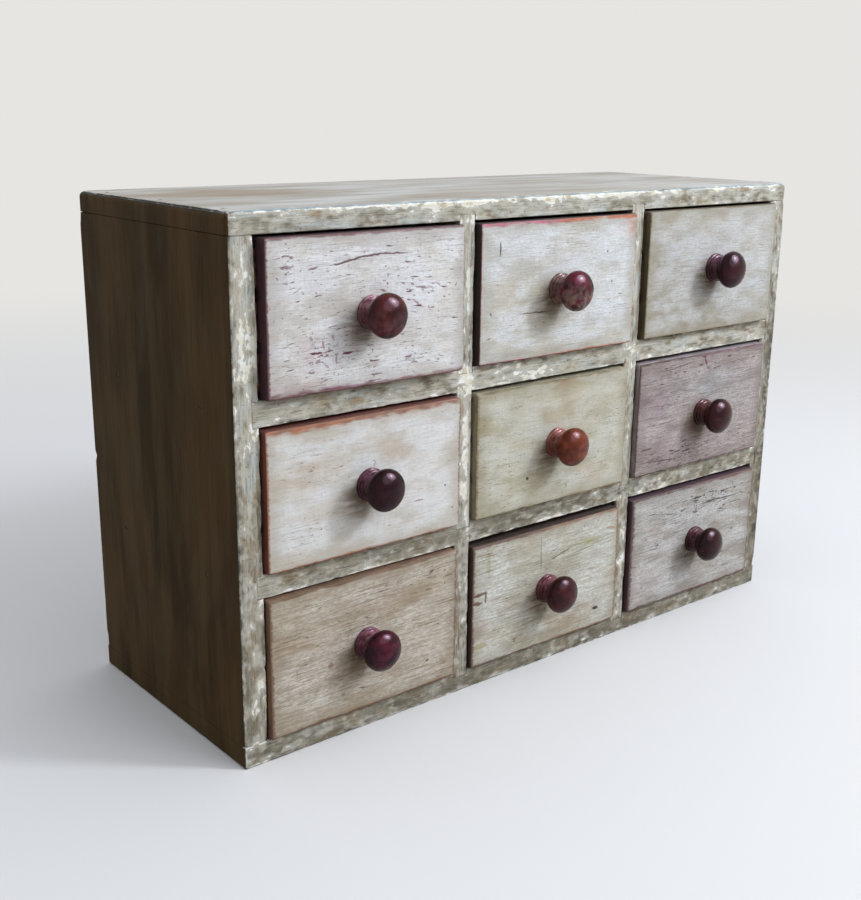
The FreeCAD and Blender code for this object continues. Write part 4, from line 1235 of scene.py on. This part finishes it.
class CABINET_OT_knobs(Operator):
    """Turn the nine knobs, each with its own lacquer"""

    bl_idname = "cabinet.knobs"
    bl_label = "Knobs"

    def execute(self, context):
        for i, place in enumerate(DRAWERS):
            self.knob(context.scene.cabinet_knob, context.scene.cabinet_drawers[i], i, place)
        return {"FINISHED"}

    def knob(self, shape, finish, i, place):
        """One knob, spun from its outline, its head a little uneven."""
        row, column = place
        node = f"drawer_{row}_{column}_knob"
        low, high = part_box(node)
        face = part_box(f"drawer_{row}_{column}_front")[0].y
        outline = knob_profile(shape, face - low.y, (high.x - low.x) / 2, high.y - face)
        bm = bmesh.new()
        ring = [bm.verts.new((radius, -height, 0)) for radius, height in outline]
        edges = [bm.edges.new(pair) for pair in zip(ring, ring[1:])]
        bmesh.ops.spin(
            bm, geom=ring + edges, cent=(0, 0, 0), axis=(0, 1, 0), angle=2 * math.pi, steps=shape.steps,
            use_merge=True)
        bmesh.ops.remove_doubles(bm, verts=bm.verts, dist=TOUCHING)
        bmesh.ops.recalc_face_normals(bm, faces=bm.faces)
        for v in bm.verts:
            if v.co.y < -HEAD_FROM:
                v.co -= v.normal * UNEVEN * (1 + roll(v.co, 7 * MM, 80 + i))
        centre = Vector(((low.x + high.x) / 2, face + SUNK, (low.z + high.z) / 2))
        bmesh.ops.translate(bm, verts=bm.verts, vec=centre)
        lacquer = turned_lacquer(f"lacquered_wood_{row}_{column}", place, centre, finish)
        finish_piece(
            bm, f"turned_knob_{row}_{column}", [lacquer], f"{row}_{column}_drawer", [node])


# ---- stage ----
FLOOR_RADIUS = 20.0
FLOOR_FADE = (0.5, 2.6)     # from the middle, in metres: where the floor starts to fade, and where it is gone
LAMP_AIM = Vector((0.0, -0.15, 0.25))
# Direction, distance, width and height of each lamp.
LAMPS = {
    "key": (Vector((0.30, -0.78, 0.55)), 3.4, 3.0, 3.0),
    "glint": (Vector((0.54, -0.60, 0.59)), 2.4, 0.38, 0.62),
    "sheen": (Vector((0.53, -0.57, 0.63)), 2.4, 1.4, 1.9),
}
CAMERA_PLACE = Vector((-0.74657, -0.85970, 0.49646))
CAMERA_AIM = Vector((0.6119, 0.7429, -0.2713))
CAMERA_ROLL = math.radians(0.62)


def seen_or_mirrored(tree):
    """1 for what is seen straight on, in a mirror or through glass, and 0 for what only lights the object."""
    path = add(tree, "LightPath").outputs
    seen = path["Is Camera Ray"]
    for kind in ("Is Glossy Ray", "Is Transmission Ray"):
        seen = add(tree, "Math", [seen, path[kind]], **GREATER)
    return seen


class CABINET_OT_stage(Operator):
    """Set the plain floor, the soft lamps and the camera"""

    bl_idname = "cabinet.stage"
    bl_label = "Stage"

    def execute(self, context):
        settings = context.scene.cabinet_stage
        self.floor(context, settings)
        self.world(context, settings)
        self.lamps(context, settings)
        self.camera(context, settings)
        context.scene.view_settings.view_transform = "Standard"
        return {"FINISHED"}

    def floor(self, context, settings):
        """A matt floor that fades into the backdrop's plain colour where it is seen or mirrored."""
        bm = bmesh.new()
        bmesh.ops.create_circle(bm, cap_ends=True, segments=96, radius=FLOOR_RADIUS)
        mesh = bpy.data.meshes.new("floor")
        bm.to_mesh(mesh)
        bm.free()
        floor = bpy.data.objects.new("floor", mesh)
        material, tree = empty_tree("plain_matt_floor")
        seen = seen_or_mirrored(tree)
        shade = coats(tree, settings.bounce, (seen, settings.floor))
        matt = add(tree, "BsdfPrincipled", {"Base Color": shade, "Roughness": 0.9, "Specular IOR Level": 0.2})
        plain = add(tree, "Emission", {"Color": settings.backdrop, "Strength": 1.0})
        away = add(tree, "VectorMath", [add(tree, "TexCoord").outputs["Object"]], operation="LENGTH")
        fade = add(tree, "MapRange", [away.outputs["Value"], *FLOOR_FADE], **SMOOTH)
        fade = add(tree, "Math", [fade, seen], **TIMES)
        add(tree, "OutputMaterial", {"Surface": add(tree, "MixShader", [fade, matt, plain])})
        mesh.materials.append(material)
        context.scene.collection.objects.link(floor)

    def world(self, context, settings):
        """Soft light from all round, brighter above and on the lamps' side, behind a plain backdrop that is
        only seen or mirrored."""
        world = bpy.data.worlds.new("soft_room")
        context.scene.world = world
        world.use_nodes = True
        tree = world.node_tree
        tree.nodes.clear()
        way = add(tree, "SeparateXYZ", [add(tree, "TexCoord").outputs["Generated"]]).outputs
        upward = add(tree, "MapRange", [way["Z"], 0.0, 0.8, settings.horizon, settings.zenith])
        sideways = add(tree, "MapRange", [way["X"], -0.9, 0.9, settings.far_side, 2 - settings.far_side])
        strength = add(tree, "Math", [upward, sideways], **TIMES)
        light = add(tree, "Background", {"Color": settings.sky, "Strength": strength})
        plain = add(tree, "Background", {"Color": settings.backdrop, "Strength": 1.0})
        add(tree, "OutputWorld", {"Surface": add(tree, "MixShader", [seen_or_mirrored(tree), light, plain])})

    def lamps(self, context, settings):
        """A large soft lamp in front, and a small one to the right for the gloss of the knobs, with a wider
        one round it that only shows in gloss."""
        for name, (direction, distance, width, height) in LAMPS.items():
            data = bpy.data.lights.new(name, "AREA")
            data.shape = "ELLIPSE"
            data.size = width
            data.size_y = height
            data.energy = getattr(settings, name + "_power")
            data.color = settings.key_tint[:3]
            lamp = bpy.data.objects.new(name, data)
            context.scene.collection.objects.link(lamp)
            lamp.visible_diffuse = name != "sheen"
            lamp.location = LAMP_AIM + direction * distance
            lamp.rotation_euler = direction.to_track_quat("Z", "Y").to_euler()

    def camera(self, context, settings):
        """A camera in front and to the left, above the cabinet, looking down on it and tilted a little."""
        data = bpy.data.cameras.new("camera")
        data.lens = settings.lens
        camera = bpy.data.objects.new("camera", data)
        context.scene.collection.objects.link(camera)
        ahead = CAMERA_AIM.normalized()
        right = ahead.cross(Vector((0, 0, 1))).normalized()
        up = right.cross(ahead)
        turned_right = right * math.cos(CAMERA_ROLL) + up * math.sin(CAMERA_ROLL)
        turned_up = turned_right.cross(ahead)
        axes = Matrix((turned_right, turned_up, -ahead)).transposed()
        camera.matrix_world = Matrix.Translation(CAMERA_PLACE) @ axes.to_4x4()
        context.scene.camera = camera


# ---- add-on ----
STEPS = (
    CABINET_OT_carcass, CABINET_OT_back, CABINET_OT_drawer_boxes, CABINET_OT_drawer_fronts, CABINET_OT_knobs,
    CABINET_OT_stage,
)


class CABINET_PT_panel(Panel):
    """Lists the steps in their order"""

    bl_label = "Haberdashery Cabinet"
    bl_idname = "CABINET_PT_panel"
    bl_space_type = "VIEW_3D"
    bl_region_type = "UI"
    bl_category = "Cabinet"

    def draw(self, context):
        for step in STEPS:
            self.layout.operator(step.bl_idname)


GROUPS = {"carcass": CarcassFinish, "knob": KnobShape, "stage": StageSettings}
CLASSES = (*GROUPS.values(), DrawerFinish, *STEPS, CABINET_PT_panel)


def register():
    """Add the classes, and hang the settings on the scene."""
    for cls in CLASSES:
        bpy.utils.register_class(cls)
    for name, group in GROUPS.items():
        setattr(bpy.types.Scene, "cabinet_" + name, PointerProperty(type=group))
    bpy.types.Scene.cabinet_drawers = CollectionProperty(type=DrawerFinish)


def unregister():
    """Take away what register added."""
    del bpy.types.Scene.cabinet_drawers
    for name in GROUPS:
        delattr(bpy.types.Scene, "cabinet_" + name)
    for cls in reversed(CLASSES):
        bpy.utils.unregister_class(cls)


def list_drawers():
    """One entry for each drawer, with its own colours."""
    drawers = bpy.context.scene.cabinet_drawers
    drawers.clear()
    for row, column in DRAWERS:
        entry = drawers.add()
        entry.name = f"{row} {column}"
        for name, value in DRAWER_COLOURS[row, column].items():
            setattr(entry, name, linear(value) if isinstance(value, str) else value)


def main():
    """Make the whole cabinet and its stage."""
    register()
    list_drawers()
    bpy.ops.cabinet.carcass()
    bpy.ops.cabinet.back()
    bpy.ops.cabinet.drawer_boxes()
    bpy.ops.cabinet.drawer_fronts()
    bpy.ops.cabinet.knobs()
    bpy.ops.cabinet.stage()


if __name__ == "__main__":
    main()
